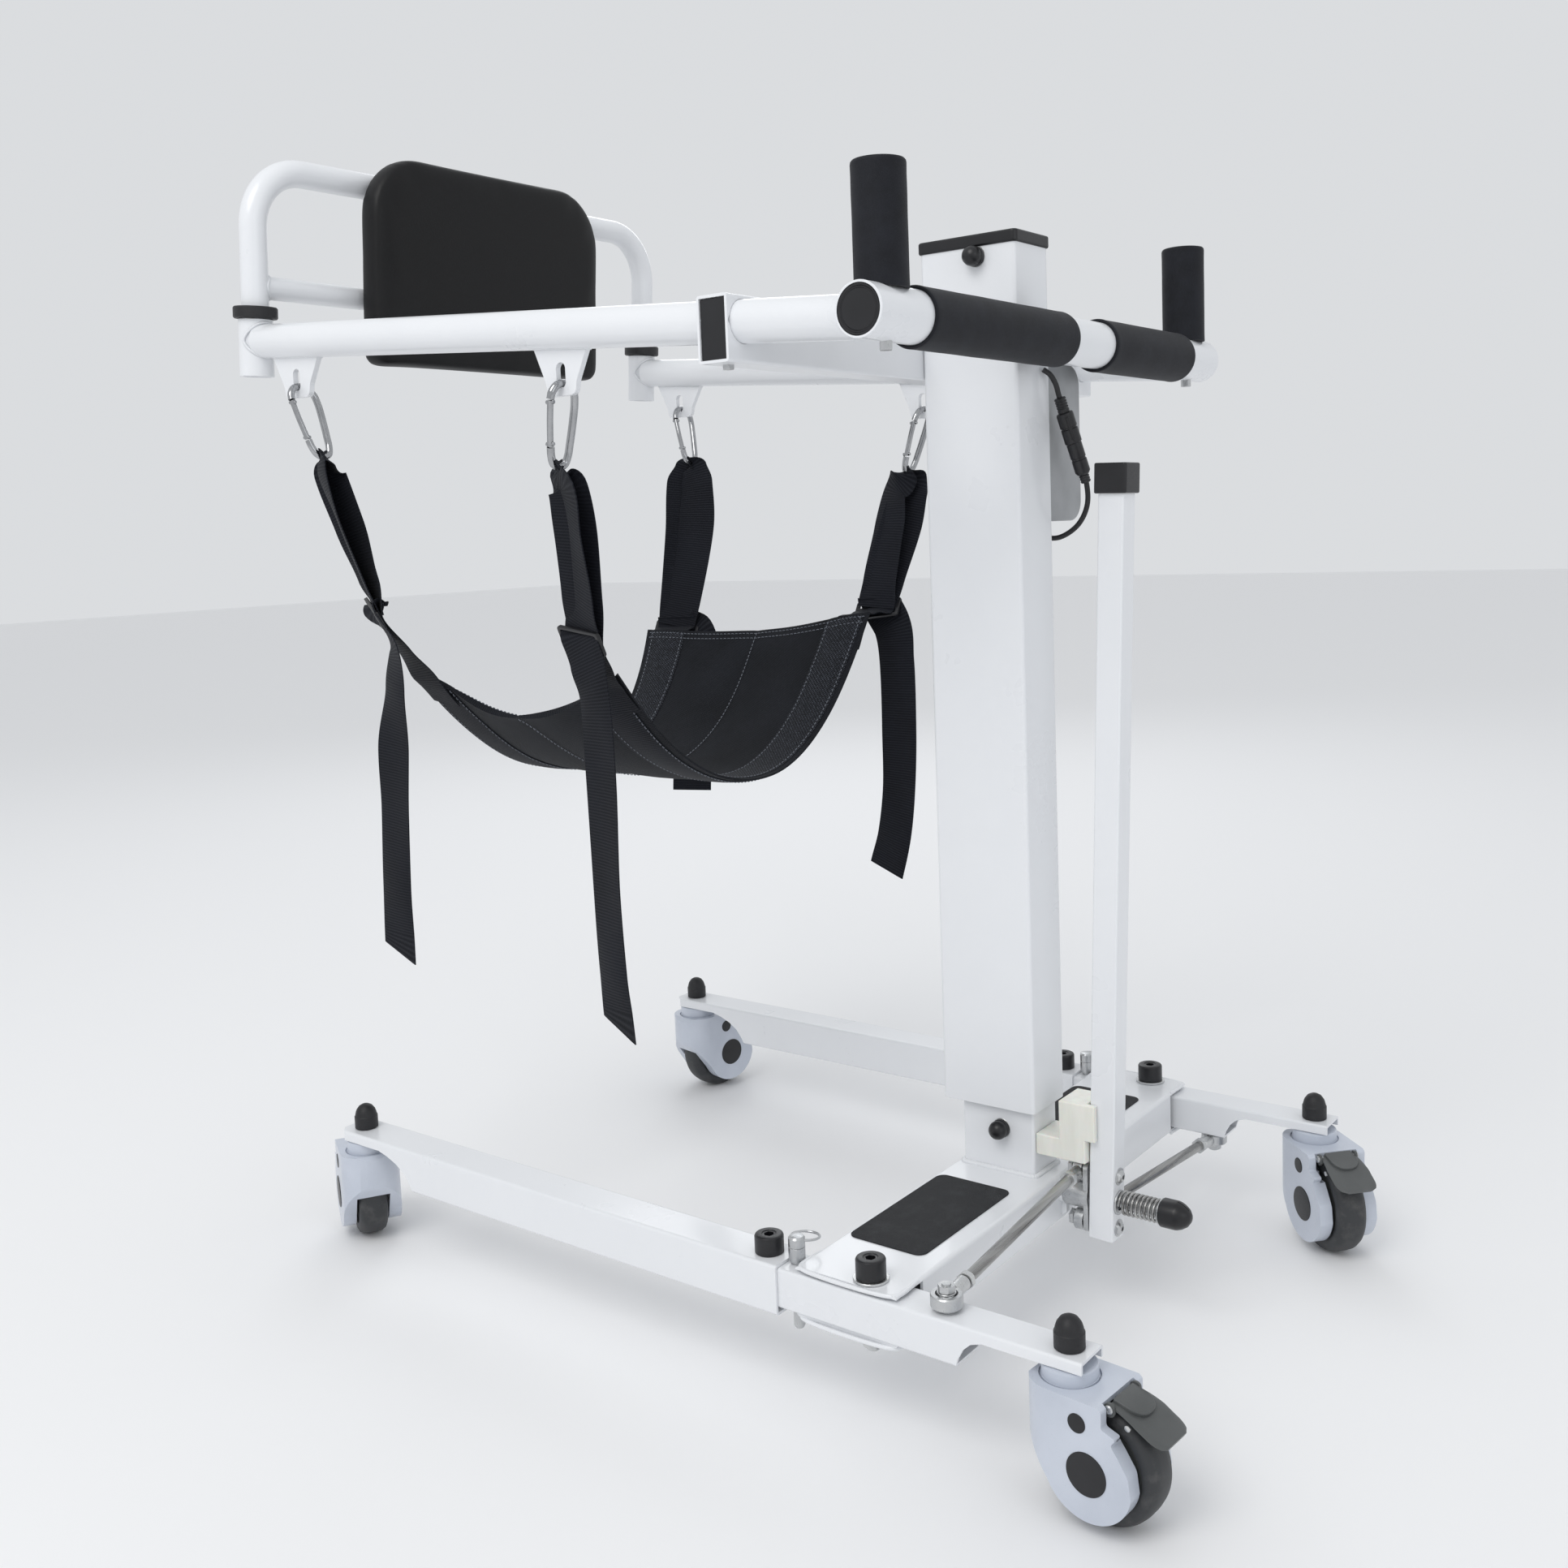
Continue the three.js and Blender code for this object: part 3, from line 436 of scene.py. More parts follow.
LOOK = {
    "white_coat": white_coat(), "zinc": zinc_plate(), "rod": rolled_steel(), "chrome": bright_chrome(),
    "black_plastic": moulding("black_plastic", (0.005, 0.005, 0.0065), (0.010, 0.010, 0.0125), 0.36, 800,
                              0.1),
    "black_rubber": moulding("black_rubber", (0.006, 0.006, 0.0075), (0.013, 0.013, 0.0155), 0.52, 650, 0.2),
    "foam": cell_foam(), "vinyl": pad_skin(), "webbing": webbing(), "fabric": seat_cloth(),
    "band": mesh_band(), "thread": sewing_thread(), "grip_tape": grip_tape(),
    "grey_plastic": moulding("grey_plastic", (0.075, 0.08, 0.08), (0.105, 0.11, 0.11), 0.42, 700, 0.12),
    "caster_grey": caster_shell(), "tyre": soft_tread(), "nylon": nylon_block(),
    "actuator_black": moulding("actuator_black", (0.012, 0.012, 0.013), (0.02, 0.02, 0.022), 0.4, 500, 0.1),
    "box_grey": moulding("box_grey", (0.27, 0.28, 0.29), (0.36, 0.37, 0.385), 0.4, 500, 0.14,
                         Coat_Weight=0.15),
    "cable": moulding("cable_sheath", (0.008, 0.008, 0.009), (0.015, 0.015, 0.017), 0.5, 900, 0.12),
    "label": moulding("plain_label", (0.42, 0.43, 0.44), (0.5, 0.51, 0.52), 0.35, 300, 0.04),
}


# ---------------------------------------------------------------- shapes in millimetres
def quads(bm, rings, close_line=False):
    """Faces between closed rings of vertices."""
    count = len(rings[0])
    pairs = list(zip(rings, rings[1:])) + ([(rings[-1], rings[0])] if close_line else [])
    for a, b in pairs:
        for j in range(count):
            k = (j + 1) % count
            bm.faces.new((a[j], a[k], b[k], b[j]))


def lathe(bm, profile, base, axis, sides=48):
    """A turned shape: (radius, height) pairs from base along axis.
    A profile off the axis closes on itself."""
    axis = Vector(axis).normalized()
    first = axis.orthogonal().normalized()
    second = axis.cross(first)
    base = Vector(base)
    rings, poles = [], {}
    for index, (r, h) in enumerate(profile):
        if r < 1e-6:
            poles[index] = bm.verts.new(base + axis * h)
            rings.append(None)
            continue
        rings.append([bm.verts.new(base + axis * h + (first * math.cos(t) + second * math.sin(t)) * r)
                      for t in (2 * math.pi * i / sides for i in range(sides))])
    for i in range(len(profile) - 1):
        a, b = rings[i], rings[i + 1]
        if a and b:
            quads(bm, [a, b])
        elif a or b:
            ring, pole = (a, poles[i + 1]) if a else (b, poles[i])
            for j in range(sides):
                bm.faces.new((ring[j], ring[(j + 1) % sides], pole))
    if not poles:
        quads(bm, [rings[-1], rings[0]])
    return bm


def curved(points, steps):
    """A smooth line through points, by centripetal spline."""
    pts = [Vector(p) for p in points]
    pts = [pts[0] * 2 - pts[1], *pts, pts[-1] * 2 - pts[-2]]
    out = []
    spans = len(pts) - 3
    for s in range(steps + 1):
        u = min(s / steps * spans, spans - 1e-9)
        i = int(u)
        p0, p1, p2, p3 = pts[i:i + 4]
        t0 = 0.0
        t1 = t0 + max((p1 - p0).length, 1e-6) ** 0.5
        t2 = t1 + max((p2 - p1).length, 1e-6) ** 0.5
        t3 = t2 + max((p3 - p2).length, 1e-6) ** 0.5
        t = t1 + (u - i) * (t2 - t1)
        a1 = p0 * ((t1 - t) / (t1 - t0)) + p1 * ((t - t0) / (t1 - t0))
        a2 = p1 * ((t2 - t) / (t2 - t1)) + p2 * ((t - t1) / (t2 - t1))
        a3 = p2 * ((t3 - t) / (t3 - t2)) + p3 * ((t - t2) / (t3 - t2))
        b1 = a1 * ((t2 - t) / (t2 - t0)) + a2 * ((t - t0) / (t2 - t0))
        b2 = a2 * ((t3 - t) / (t3 - t1)) + a3 * ((t - t1) / (t3 - t1))
        out.append(b1 * ((t2 - t) / (t2 - t1)) + b2 * ((t - t1) / (t2 - t1)))
    return out


def circle(r, n=32):
    return [(r * math.cos(2 * math.pi * i / n), r * math.sin(2 * math.pi * i / n)) for i in range(n)]


def sweep(bm, points, section, side, closed=False):
    """A section carried along points. side is the way its first axis faces."""
    pts = [Vector(p) for p in points]
    n = len(pts)
    rings = []
    for i, p in enumerate(pts):
        before = pts[(i - 1) % n] if closed else pts[max(i - 1, 0)]
        after = pts[(i + 1) % n] if closed else pts[min(i + 1, n - 1)]
        t = (after - before).normalized()
        given = Vector(side)
        u = (given - t * given.dot(t)).normalized()
        w = t.cross(u)
        rings.append([bm.verts.new(p + (u * a + w * b)) for a, b in section])
    quads(bm, rings, close_line=closed)
    if not closed:
        bm.faces.new(rings[0][::-1])
        bm.faces.new(rings[-1])
    return bm


def fillet(outline, radii, n=6):
    """An outline whose corners are rounded. radii is one number, or one for each corner."""
    pts = [Vector((*p, 0)) for p in outline]
    radii = radii if hasattr(radii, "__len__") else [radii] * len(pts)
    out = []
    for i, p in enumerate(pts):
        a, b = (pts[i - 1] - p), (pts[(i + 1) % len(pts)] - p)
        r = radii[i]
        if r <= 0:
            out.append((p.x, p.y))
            continue
        half = a.angle(b) / 2
        reach = min(r / math.tan(half), a.length * 0.49, b.length * 0.49)
        r = reach * math.tan(half)
        centre = p + (a.normalized() + b.normalized()).normalized() * (r / math.sin(half))
        s, e = p + a.normalized() * reach - centre, p + b.normalized() * reach - centre
        angle = s.angle(e)
        for j in range(n + 1):
            f = j / n
            v = s * (math.sin((1 - f) * angle) / math.sin(angle)) + e * (math.sin(f
                                                                                  * angle) / math.sin(angle))
            out.append((centre.x + v.x, centre.y + v.y))
    return out


def rect(u0, u1, v0, v1):
    return [(u0, v0), (u1, v0), (u1, v1), (u0, v1)]


def prism(bm, outline, low, high, plane="xy", holes=()):
    """An outline given thickness. plane names the outline's two axes."""
    to3 = {"xy": lambda u, v, w: (u, v, w), "yz": lambda u, v, w: (w, u, v), "xz": lambda u, v,
           w: (u, w, v)}[plane]
    loops = [outline, *holes]
    layers = []
    for w in (low, high):
        edges, rings = [], []
        for loop in loops:
            ring = [bm.verts.new(to3(u, v, w)) for u, v in loop]
            edges += [bm.edges.new((ring[i], ring[(i + 1) % len(ring)])) for i in range(len(ring))]
            rings.append(ring)
        if holes:
            bmesh.ops.triangle_fill(bm, edges=edges, use_beauty=True)
        else:
            bm.faces.new(rings[0])
        layers.append(rings)
    for a, b in zip(*layers):
        quads(bm, [a, b])
    return bm


def new(build, *args):
    """A new mesh made by one of the builders above."""
    return build(bmesh.new(), *args)


def moved(bm, matrix):
    bmesh.ops.transform(bm, matrix=matrix, verts=bm.verts)
    return bm


def pour(bm, out):
    """bm added to out, and freed."""
    held = bpy.data.meshes.new("part")
    bm.to_mesh(held)
    out.from_mesh(held)
    bpy.data.meshes.remove(held)
    bm.free()


def joined(*shapes):
    """Several shapes as one mesh."""
    out = bmesh.new()
    for bm in shapes:
        pour(tidy_faces(bm), out)
    return out


def tidy_faces(bm, merge=0.001):
    bmesh.ops.remove_doubles(bm, verts=bm.verts, dist=merge)
    bmesh.ops.recalc_face_normals(bm, faces=bm.faces)
    return bm


def temp(bm, name="temp"):
    mesh = bpy.data.meshes.new(name)
    bm.to_mesh(mesh)
    bm.free()
    obj = bpy.data.objects.new(name, mesh)
    bpy.context.collection.objects.link(obj)
    return obj


def plain_mesh(obj):
    """The object's mesh with its modifiers worked in."""
    graph = bpy.context.evaluated_depsgraph_get()
    return bpy.data.meshes.new_from_object(obj.evaluated_get(graph))


def drop(*objects):
    for obj in objects:
        mesh = obj.data
        bpy.data.objects.remove(obj)
        bpy.data.meshes.remove(mesh)


def taken(body, *others):
    """The finished shape of body; body and the others are dropped."""
    mesh = plain_mesh(body)
    drop(body, *others)
    out = bmesh.new()
    out.from_mesh(mesh)
    bpy.data.meshes.remove(mesh)
    return out


def carve(bm, tool, operation="DIFFERENCE"):
    """bm cut by, kept inside, or joined to tool."""
    body, cutter = temp(tidy_faces(bm)), temp(tidy_faces(tool))
    cut = body.modifiers.new("cut", "BOOLEAN")
    cut.operation, cut.object, cut.solver = operation, cutter, "EXACT"
    return taken(body, cutter)


def eased(bm, width, segments=3, angle=32):
    """bm with its sharp edges rounded."""
    body = temp(tidy_faces(bm))
    bevel = body.modifiers.new("ease", "BEVEL")
    bevel.width, bevel.segments, bevel.limit_method = width, segments, "ANGLE"
    bevel.angle_limit = math.radians(angle)
    return taken(body)


def cad_shape(node):
    """A CAD node's own solid, merged, in millimetres about the pivots."""
    bm = bmesh.new()
    bm.from_mesh(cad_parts[node].data)
    bmesh.ops.transform(bm, matrix=Matrix.Scale(1 / MM, 4) @ Matrix.Translation(-PIVOTS), verts=bm.verts)
    bmesh.ops.remove_doubles(bm, verts=bm.verts, dist=0.02)
    bmesh.ops.dissolve_limit(bm, angle_limit=math.radians(0.6), verts=bm.verts, edges=bm.edges)
    bmesh.ops.recalc_face_normals(bm, faces=bm.faces)
    for layer in list(bm.loops.layers.uv):
        bm.loops.layers.uv.remove(layer)
    return bm


def keep_below(bm, z, above=False):
    """Cuts bm level at z and closes it."""
    cut = bmesh.ops.bisect_plane(bm, geom=[*bm.verts, *bm.edges, *bm.faces], plane_co=(0, 0, z),
                                 plane_no=(0, 0, 1),
                                 clear_outer=not above, clear_inner=above)
    edges = [e for e in cut["geom_cut"] if isinstance(e, bmesh.types.BMEdge)]
    bmesh.ops.holes_fill(bm, edges=edges)
    return bm


def piece(name, bm, look, body, stands_for=(), ease=0, segments=2, smooth=35, weld=0.001):
    """The finished piece: rounded, in metres, in place, with its look, and riding on its body."""
    if ease:
        bm = eased(bm, ease, segments)
    tidy_faces(bm, weld)
    bmesh.ops.transform(bm, matrix=Matrix.Translation(PIVOTS) @ Matrix.Scale(MM, 4), verts=bm.verts)
    mesh = bpy.data.meshes.new(name)
    bm.to_mesh(mesh)
    bm.free()
    return show(name, mesh, look, body, stands_for, smooth)


def show(name, mesh, look, body, stands_for=(), smooth=35):
    """A mesh in metres shown as a piece."""
    mesh.name = name
    mesh.materials.clear()
    mesh.materials.append(LOOK[look])
    mesh.shade_smooth()
    mesh.set_sharp_from_angle(angle=math.radians(smooth))
    obj = bpy.data.objects.new(name, mesh)
    bpy.context.collection.objects.link(obj)
    weigh = obj.modifiers.new("weigh", "WEIGHTED_NORMAL")
    weigh.keep_sharp = True
    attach(obj, body)
    if stands_for:
        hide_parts(*((stands_for,) if isinstance(stands_for, str) else stands_for))
    return obj


def refined(node, look, body, ease=1.0, segments=3, trim=None):
    """A CAD node shown with rounded edges."""
    bm = cad_shape(node)
    if trim:
        bm = keep_below(bm, trim[0], trim[1])
    return piece(node + "_shape", bm, look, body, node, ease, segments)


# ---------------------------------------------------------------- geometry nodes for what repeats
def repeat_tree():
    """Copies of Part along a line, Pitch apart, turned to the line and to its 'up' attribute."""
    tree = bpy.data.node_groups.new("repeat_along", "GeometryNodeTree")
    face = tree.interface
    face.new_socket("Line", in_out="INPUT", socket_type="NodeSocketGeometry")
    face.new_socket("Part", in_out="INPUT", socket_type="NodeSocketObject")
    face.new_socket("Pitch", in_out="INPUT", socket_type="NodeSocketFloat")
    face.new_socket("Finish", in_out="INPUT", socket_type="NodeSocketMaterial")
    face.new_socket("Made", in_out="OUTPUT", socket_type="NodeSocketGeometry")

    def node(kind, **settings):
        made = tree.nodes.new(kind)
        for key, value in settings.items():
            setattr(made, key, value)
        return made

    given, out = node("NodeGroupInput"), node("NodeGroupOutput")
    line = node("GeometryNodeMeshToCurve")
    steps = node("GeometryNodeResampleCurve", mode="LENGTH")
    tangent = node("GeometryNodeInputTangent")
    up = node("GeometryNodeInputNamedAttribute", data_type="FLOAT_VECTOR")
    up.inputs["Name"].default_value = "up"
    turn = node("FunctionNodeAxesToRotation", primary_axis="X", secondary_axis="Z")
    part = node("GeometryNodeObjectInfo")
    put = node("GeometryNodeInstanceOnPoints")
    real = node("GeometryNodeRealizeInstances")
    paint = node("GeometryNodeSetMaterial")
    for a, b in (
        (given.outputs["Line"], line.inputs["Mesh"]), (line.outputs["Curve"], steps.inputs["Curve"]),
        (given.outputs["Pitch"], steps.inputs["Length"]), (steps.outputs["Curve"], put.inputs["Points"]),
        (tangent.outputs["Tangent"], turn.inputs["Primary Axis"]),
        (up.outputs["Attribute"], turn.inputs["Secondary Axis"]),
                 (turn.outputs["Rotation"], put.inputs["Rotation"]),
        (given.outputs["Part"], part.inputs["Object"]), (part.outputs["Geometry"], put.inputs["Instance"]),
        (put.outputs["Instances"], real.inputs["Geometry"]),
                 (real.outputs["Geometry"], paint.inputs["Geometry"]),
        (given.outputs["Finish"], paint.inputs["Material"]), (paint.outputs["Geometry"], out.inputs["Made"]),
    ):
        tree.links.new(a, b)
    return tree


def coil_tree():
    """A wire wound in a coil about Z."""
    tree = bpy.data.node_groups.new("wound_coil", "GeometryNodeTree")
    face = tree.interface
    for label, kind in (("Turns", "Float"), ("Radius", "Float"), ("Length", "Float"), ("Wire", "Float"),
                        ("Finish", "Material")):
        face.new_socket(label, in_out="INPUT", socket_type="NodeSocket" + kind)
    face.new_socket("Made", in_out="OUTPUT", socket_type="NodeSocketGeometry")
    given, out = tree.nodes.new("NodeGroupInput"), tree.nodes.new("NodeGroupOutput")
    spiral = tree.nodes.new("GeometryNodeCurveSpiral")
    spiral.inputs["Resolution"].default_value = 28
    ring = tree.nodes.new("GeometryNodeCurvePrimitiveCircle")
    ring.inputs["Resolution"].default_value = 10
    skin = tree.nodes.new("GeometryNodeCurveToMesh")
    skin.inputs["Fill Caps"].default_value = True
    smooth = tree.nodes.new("GeometryNodeSetShadeSmooth")
    real = tree.nodes.new("GeometryNodeRealizeInstances")
    paint = tree.nodes.new("GeometryNodeSetMaterial")
    for a, b in (
        (given.outputs["Turns"], spiral.inputs["Rotations"]),
                 (given.outputs["Radius"], spiral.inputs["Start Radius"]),
        (given.outputs["Radius"], spiral.inputs["End Radius"]),
                 (given.outputs["Length"], spiral.inputs["Height"]),
        (given.outputs["Wire"], ring.inputs["Radius"]), (spiral.outputs["Curve"], skin.inputs["Curve"]),
        (ring.outputs["Curve"], skin.inputs["Profile Curve"]),
                 (skin.outputs["Mesh"], smooth.inputs["Geometry"]),
        (smooth.outputs["Geometry"], real.inputs["Geometry"]),
                 (real.outputs["Geometry"], paint.inputs["Geometry"]),
        (given.outputs["Finish"], paint.inputs["Material"]), (paint.outputs["Geometry"], out.inputs["Made"]),
    ):
        tree.links.new(a, b)
    return tree


REPEAT, COIL = repeat_tree(), coil_tree()


def grow(tree, obj, **inputs):
    """The mesh a node tree makes on obj."""
    grower = obj.modifiers.new("grow", "NODES")
    grower.node_group = tree
    names = {s.name: s.identifier for s in tree.interface.items_tree if s.in_out == "INPUT"}
    for label, value in inputs.items():
        grower[names[label]] = value
    return plain_mesh(obj)


def along(name, lines, part, pitch, look, body, smooth=60):
    """One piece: copies of part along every line. A line is a list of (point, up) in millimetres."""
    mesh = bpy.data.meshes.new(name + "_line")
    verts, edges, ups = [], [], []
    for line in lines:
        start = len(verts)
        for point, up in line:
            verts.append(tuple(on_frame(point)))
            ups.append(tuple(up))
        edges += [(start + i, start + i + 1) for i in range(len(line) - 1)]
    mesh.from_pydata(verts, edges, [])
    field = mesh.attributes.new("up", "FLOAT_VECTOR", "POINT")
    field.data.foreach_set("vector", [c for v in ups for c in v])
    guide = bpy.data.objects.new(name + "_guide", mesh)
    bpy.context.collection.objects.link(guide)
    moved(part, Matrix.Scale(MM, 4))
    pattern = temp(part, name + "_pattern")
    made = grow(REPEAT, guide, Part=pattern, Pitch=pitch * MM, Finish=LOOK[look])
    drop(guide, pattern)
    return show(name, made, look, body, (), smooth)


def stitch(length, r):
    """One sewn stitch lying along X, a few faces only."""
    line = [(-length / 2, 0, -0.5), (-length / 4, 0, 0.25), (length / 4, 0, 0.25), (length / 2, 0, -0.5)]
    return new(sweep, line, circle(r, 5), (0, 1, 0))


def ripple(r):
    """One ripple of a weld."""
    return new(lathe, [(0, -0.6 * r), (0.7 * r, -0.4 * r), (r, 0), (0.7 * r, 0.4 * r), (0, 0.6 * r)],
               (0, 0, 0), X, 10)


def weld(name, points, up, body, r):
    """A closed weld bead through points."""
    pts = [Vector(p) for p in points]
    pts.append(pts[0])
    along(name, [[(p, up) for p in pts]], ripple(r), r * 0.62, "white_coat", body, 80)


# ---------------------------------------------------------------- fasteners
def dome_cap(base):
    """A push-on dome with a slight waist where the dome starts."""
    r = 12.3
    profile = [(0, 0), (r - 0.6, 0), (r, 0.6), (r, 13), (r - 0.7, 13.8), (r - 1.1, 16), (r - 2.4, 20),
               (r - 5.2, 23.8), (r - 8.6, 25.7), (0, 26.3)]
    return new(lathe, profile, base, Z, 40)


def socket_cap(base, height):
    """A black screw cover with a hexagon recess."""
    r, hexagon, depth = 13, 4.6, 6
    body = new(lathe, [(0, 0), (r - 0.5, 0), (r, 0.6), (r, height - 2.2), (r - 0.6, height - 0.8),
                       (r - 2.2, height), (6.6, height), (6.2, height - 0.8), (0, height - 0.8)], base, Z, 48)
    hole = new(lathe, [(0, height - depth), (hexagon, height - depth), (hexagon, height + 2),
                       (0, height + 2)],
               base, Z, 6)
    return carve(body, hole)


def hex_nut(base, axis, r, height):
    """A nut with chamfered corners."""
    nut = new(lathe, [(0, 0), (r, 0), (r, height), (0, height)], base, axis, 6)
    dress = new(lathe, [(0, -0.01), (r * 0.9, -0.01), (r * 1.01, 0.9), (r * 1.01, height - 0.9),
                        (r * 0.9, height + 0.01), (0, height + 0.01)], base, axis, 36)
    return carve(nut, dress, "INTERSECT")


def washer(base, axis, r, bore, height):
    profile = [(bore, 0), (r - 0.3, 0), (r, 0.3), (r, height - 0.3), (r - 0.3, height), (bore, height)]
    return new(lathe, profile, base, axis, 48)


def button_screw(base, axis, r, height):
    """A button head with a hexagon socket."""
    head = new(lathe, [(0, 0), (r, 0), (r, 0.8), (r * 0.93, height * 0.5), (r * 0.72, height * 0.85),
                       (r * 0.45, height), (0, height)], base, axis, 32)
    return carve(head, new(lathe, [(0, height - 2.6), (r * 0.36, height - 2.6), (r * 0.36, height + 1),
                                   (0, height + 1)], base, axis, 6))


# ---------------------------------------------------------------- base beam
def build_beam():
    b = BEAM
    refined("base_crossbeam", "white_coat", "base", 1.1)
    for side, s in SIDES:
        x0, x1 = sorted((s * 63, s * 221))
        sheet = new(prism, fillet(rect(x0, x1, -64, 15), 9), b["top"] + 0.02, b["top"] + 1.1)
        piece(side + "_grip_pad", sheet, "grip_tape", "base", (), 0.4, 2)
        cover = socket_cap((s * LEG["x"], 0, b["top"] + 2.4), 17.5)
        piece(side + "_pivot_cover", cover, "black_plastic", "base", side + "_pivot_bolt", 0.3, 2)
        ring = joined(washer((s * LEG["x"], 0, b["top"] + 0.3), Z, 15.5, 6, 2.2),
                      hex_nut((s * LEG["x"], 0, 75), Z, 10, 8.8),
                      new(lathe, [(0, 0), (6, 0), (6, 12), (5, 13), (0, 13)],
                                                                    (s * LEG["x"], 0, 84), -Z, 24))
        piece(side + "_pivot_washer", ring, "zinc", "base")
        for level, height in (("upper", b["top"] - 1.6), ("lower", b["bottom"] - 1.4)):
            x_out, x_in = s * (b["x"] - 0.4), s * 256
            lip = [(x_in, b["y0"] + 2), (x_out - s * 5, b["y0"] + 2), (x_out, b["y0"] + 8),
                   (x_out, b["y1"] - 8),
                   (x_out - s * 5, b["y1"] - 2), (x_in, b["y1"] - 2)]
            path = curved([(x, y, height) for x, y in lip], 50)
            piece(f"{side}_{level}_ear_rim", new(sweep, path, circle(1.9, 12), Z), "white_coat", "base")
    foot = [(u, v, b["top"] + 0.6) for u, v in
            fillet(rect(-INNER["x"] - 1.2, INNER["x"] + 1.2, INNER["y0"] - 1.2, INNER["y1"] + 1.2), 4, 4)]
    weld("mast_foot_weld", foot, Z, "base", 3.0)
    label = new(prism, fillet(rect(-292, -262, -200, -120), 2), LEG["top"] + 0.02, LEG["top"] + 0.32)
    piece("far_leg_label", label, "label", "far_leg")


# ---------------------------------------------------------------- legs
def build_legs():
    for side, s in SIDES:
        x, body = s * LEG["x"], side + "_leg"
        refined(side + "_front_leg", "white_coat", body, 1.2, 3, (LEG["top"] + 0.02, False))
        piece(side + "_clamp_cover", socket_cap((x, -108, LEG["top"]), 17), "black_plastic", body, (), 0.3, 2)
        trim = (STUB["top"] + 0.02, False) if s > 0 else (STUB["bottom"] - 0.02, True)
        refined(side + "_leg_stub", "white_coat", body, 1.2, 3, trim)
        top = s > 0
        z0, way = (STUB["top"] - 2, Z) if top else (STUB["bottom"] + 2, -Z)
        z_eye = ROD["near"] if top else ROD["far"]
        reach = abs(z_eye - z0)
        ball = new(lathe, [(0, reach - 6.4), (4.8, reach - 6.4), (6.6, reach - 4.6), (7.8, reach - 2),
                           (8, reach),
                           (7.8, reach + 2), (6.6, reach + 4.6), (4.8, reach + 6.4), (0, reach + 6.4)],
                   (x, ROD["y"], z0), way, 36)
        stud = joined(ball, new(lathe, [(0, 0), (4, 0), (4, reach + 14), (0, reach + 14)],
                                (x, ROD["y"], z0), way, 20),
                      hex_nut((x, ROD["y"], z0 + way.z * (reach + 7)), way, 7.4, 5.6),
                      washer((x, ROD["y"], z0 + way.z * (reach + 5.6)), way, 8, 4, 1.2),
                      new(lathe, [(0, 0), (7.4, 0), (6, 3.4), (0, 3.4)], (x, ROD["y"], z0 + way.z * 2), way,
                          28))
        piece(side + "_rod_stud", stud, "zinc", body)
        pin = new(lathe, [(0, 68), (3.4, 68), (5, 70.5), (5, 129.2), (7.2, 129.6), (7.4, 130.2), (7.4, 141.4),
                          (6.8, 141.9), (7.4, 142.4), (7.4, 149.6), (6.2, 151.3), (4, 151.7), (0, 151.7)],
                  (x, PIN_Y, 0), Z, 36)
        hoop = [(x - 13 + 13 * math.cos(t), PIN_Y + 12 * math.sin(t), 146 + 2.2 * math.cos(t))
                for t in (2 * math.pi * i / 48 for i in range(48))]
        piece(side + "_pin_and_ring", joined(pin, new(sweep, hoop, circle(1.15, 10), Z, True)), "zinc",
              side + "_pin", side + "_lock_pin")


# ---------------------------------------------------------------- casters
CASTERS = {"near_front": (1, "front", -121, 119, LEG["top"]),
           "far_front": (-1, "front", 169.5, 119, LEG["top"]),
           "near_rear": (1, "rear", 85.3, 117, STUB["top"]), "far_rear": (-1, "rear", 47.4, 117, STUB["top"])}


def caster_place(s, end, yaw):
    return Matrix.Translation((s * LEG["x"], LEG[end], 0)) @ Matrix.Rotation(math.radians(yaw), 4, "Z")


def shroud_outline():
    t, r = WHEEL["trail"], WHEEL["r"]
    arc = [(t + 38 * math.cos(a), r + 38 * math.sin(a)) for a in
           (math.radians(205 + 145 * i / 36) for i in range(37))]
    rest = fillet([(69.1, 43.4), (67, 60), (58, 73.5), (52.6, 80.6), (57.4, 86.2), (45, 90.2), (45.2, 103.6),
                   (42, WHEEL["top"]), (-26.5, WHEEL["top"]), (-30.6, 102), (-31, 72), (-2.7, 33.9)],
                  [0, 14, 8, 3, 1.6, 3, 3, 1, 2, 3, 26, 0], 6)
    return arc + rest[1:-1]


def shroud():
    """The fork: a rounded cheek on each side of the wheel under a round head."""
    t, r, top = WHEEL["trail"], WHEEL["r"], WHEEL["top"]
    body = new(prism, shroud_outline(), -31, 31, "xz")
    plan = [(-4 + 27 * math.cos(a), 31 * math.sin(a)) for a in
            (math.radians(90 + 180 * i / 40) for i in range(41))]
    plan = [(90, 31), *plan, (90, -31)]
    body = carve(body, new(prism, plan, -5, 140), "INTERSECT")
    body = eased(body, 2.6, 4, 36)
    body = carve(body, new(lathe, [(0, -17.5), (53, -17.5), (53, 17.5), (0, 17.5)], (t, 0, r), Y, 64))
    body = carve(body, new(prism, fillet(rect(-45, 100, -5, 44.5), [0, 0, 0, 9]), -17.5, 17.5, "xz"))
    body = carve(body, new(prism, rect(36, 100, 87, 102.2), -23, 23, "xz"))
    body = carve(body, new(prism, rect(41.5, 100, 80, 110), -23, 23, "xz"))
    groove = new(lathe, [(22.8, top - 2.5), (24.3, top - 2.5), (24.3, top + 2), (22.8, top + 2)], (0, 0, 0),
                 Z, 56)
    return carve(body, groove)


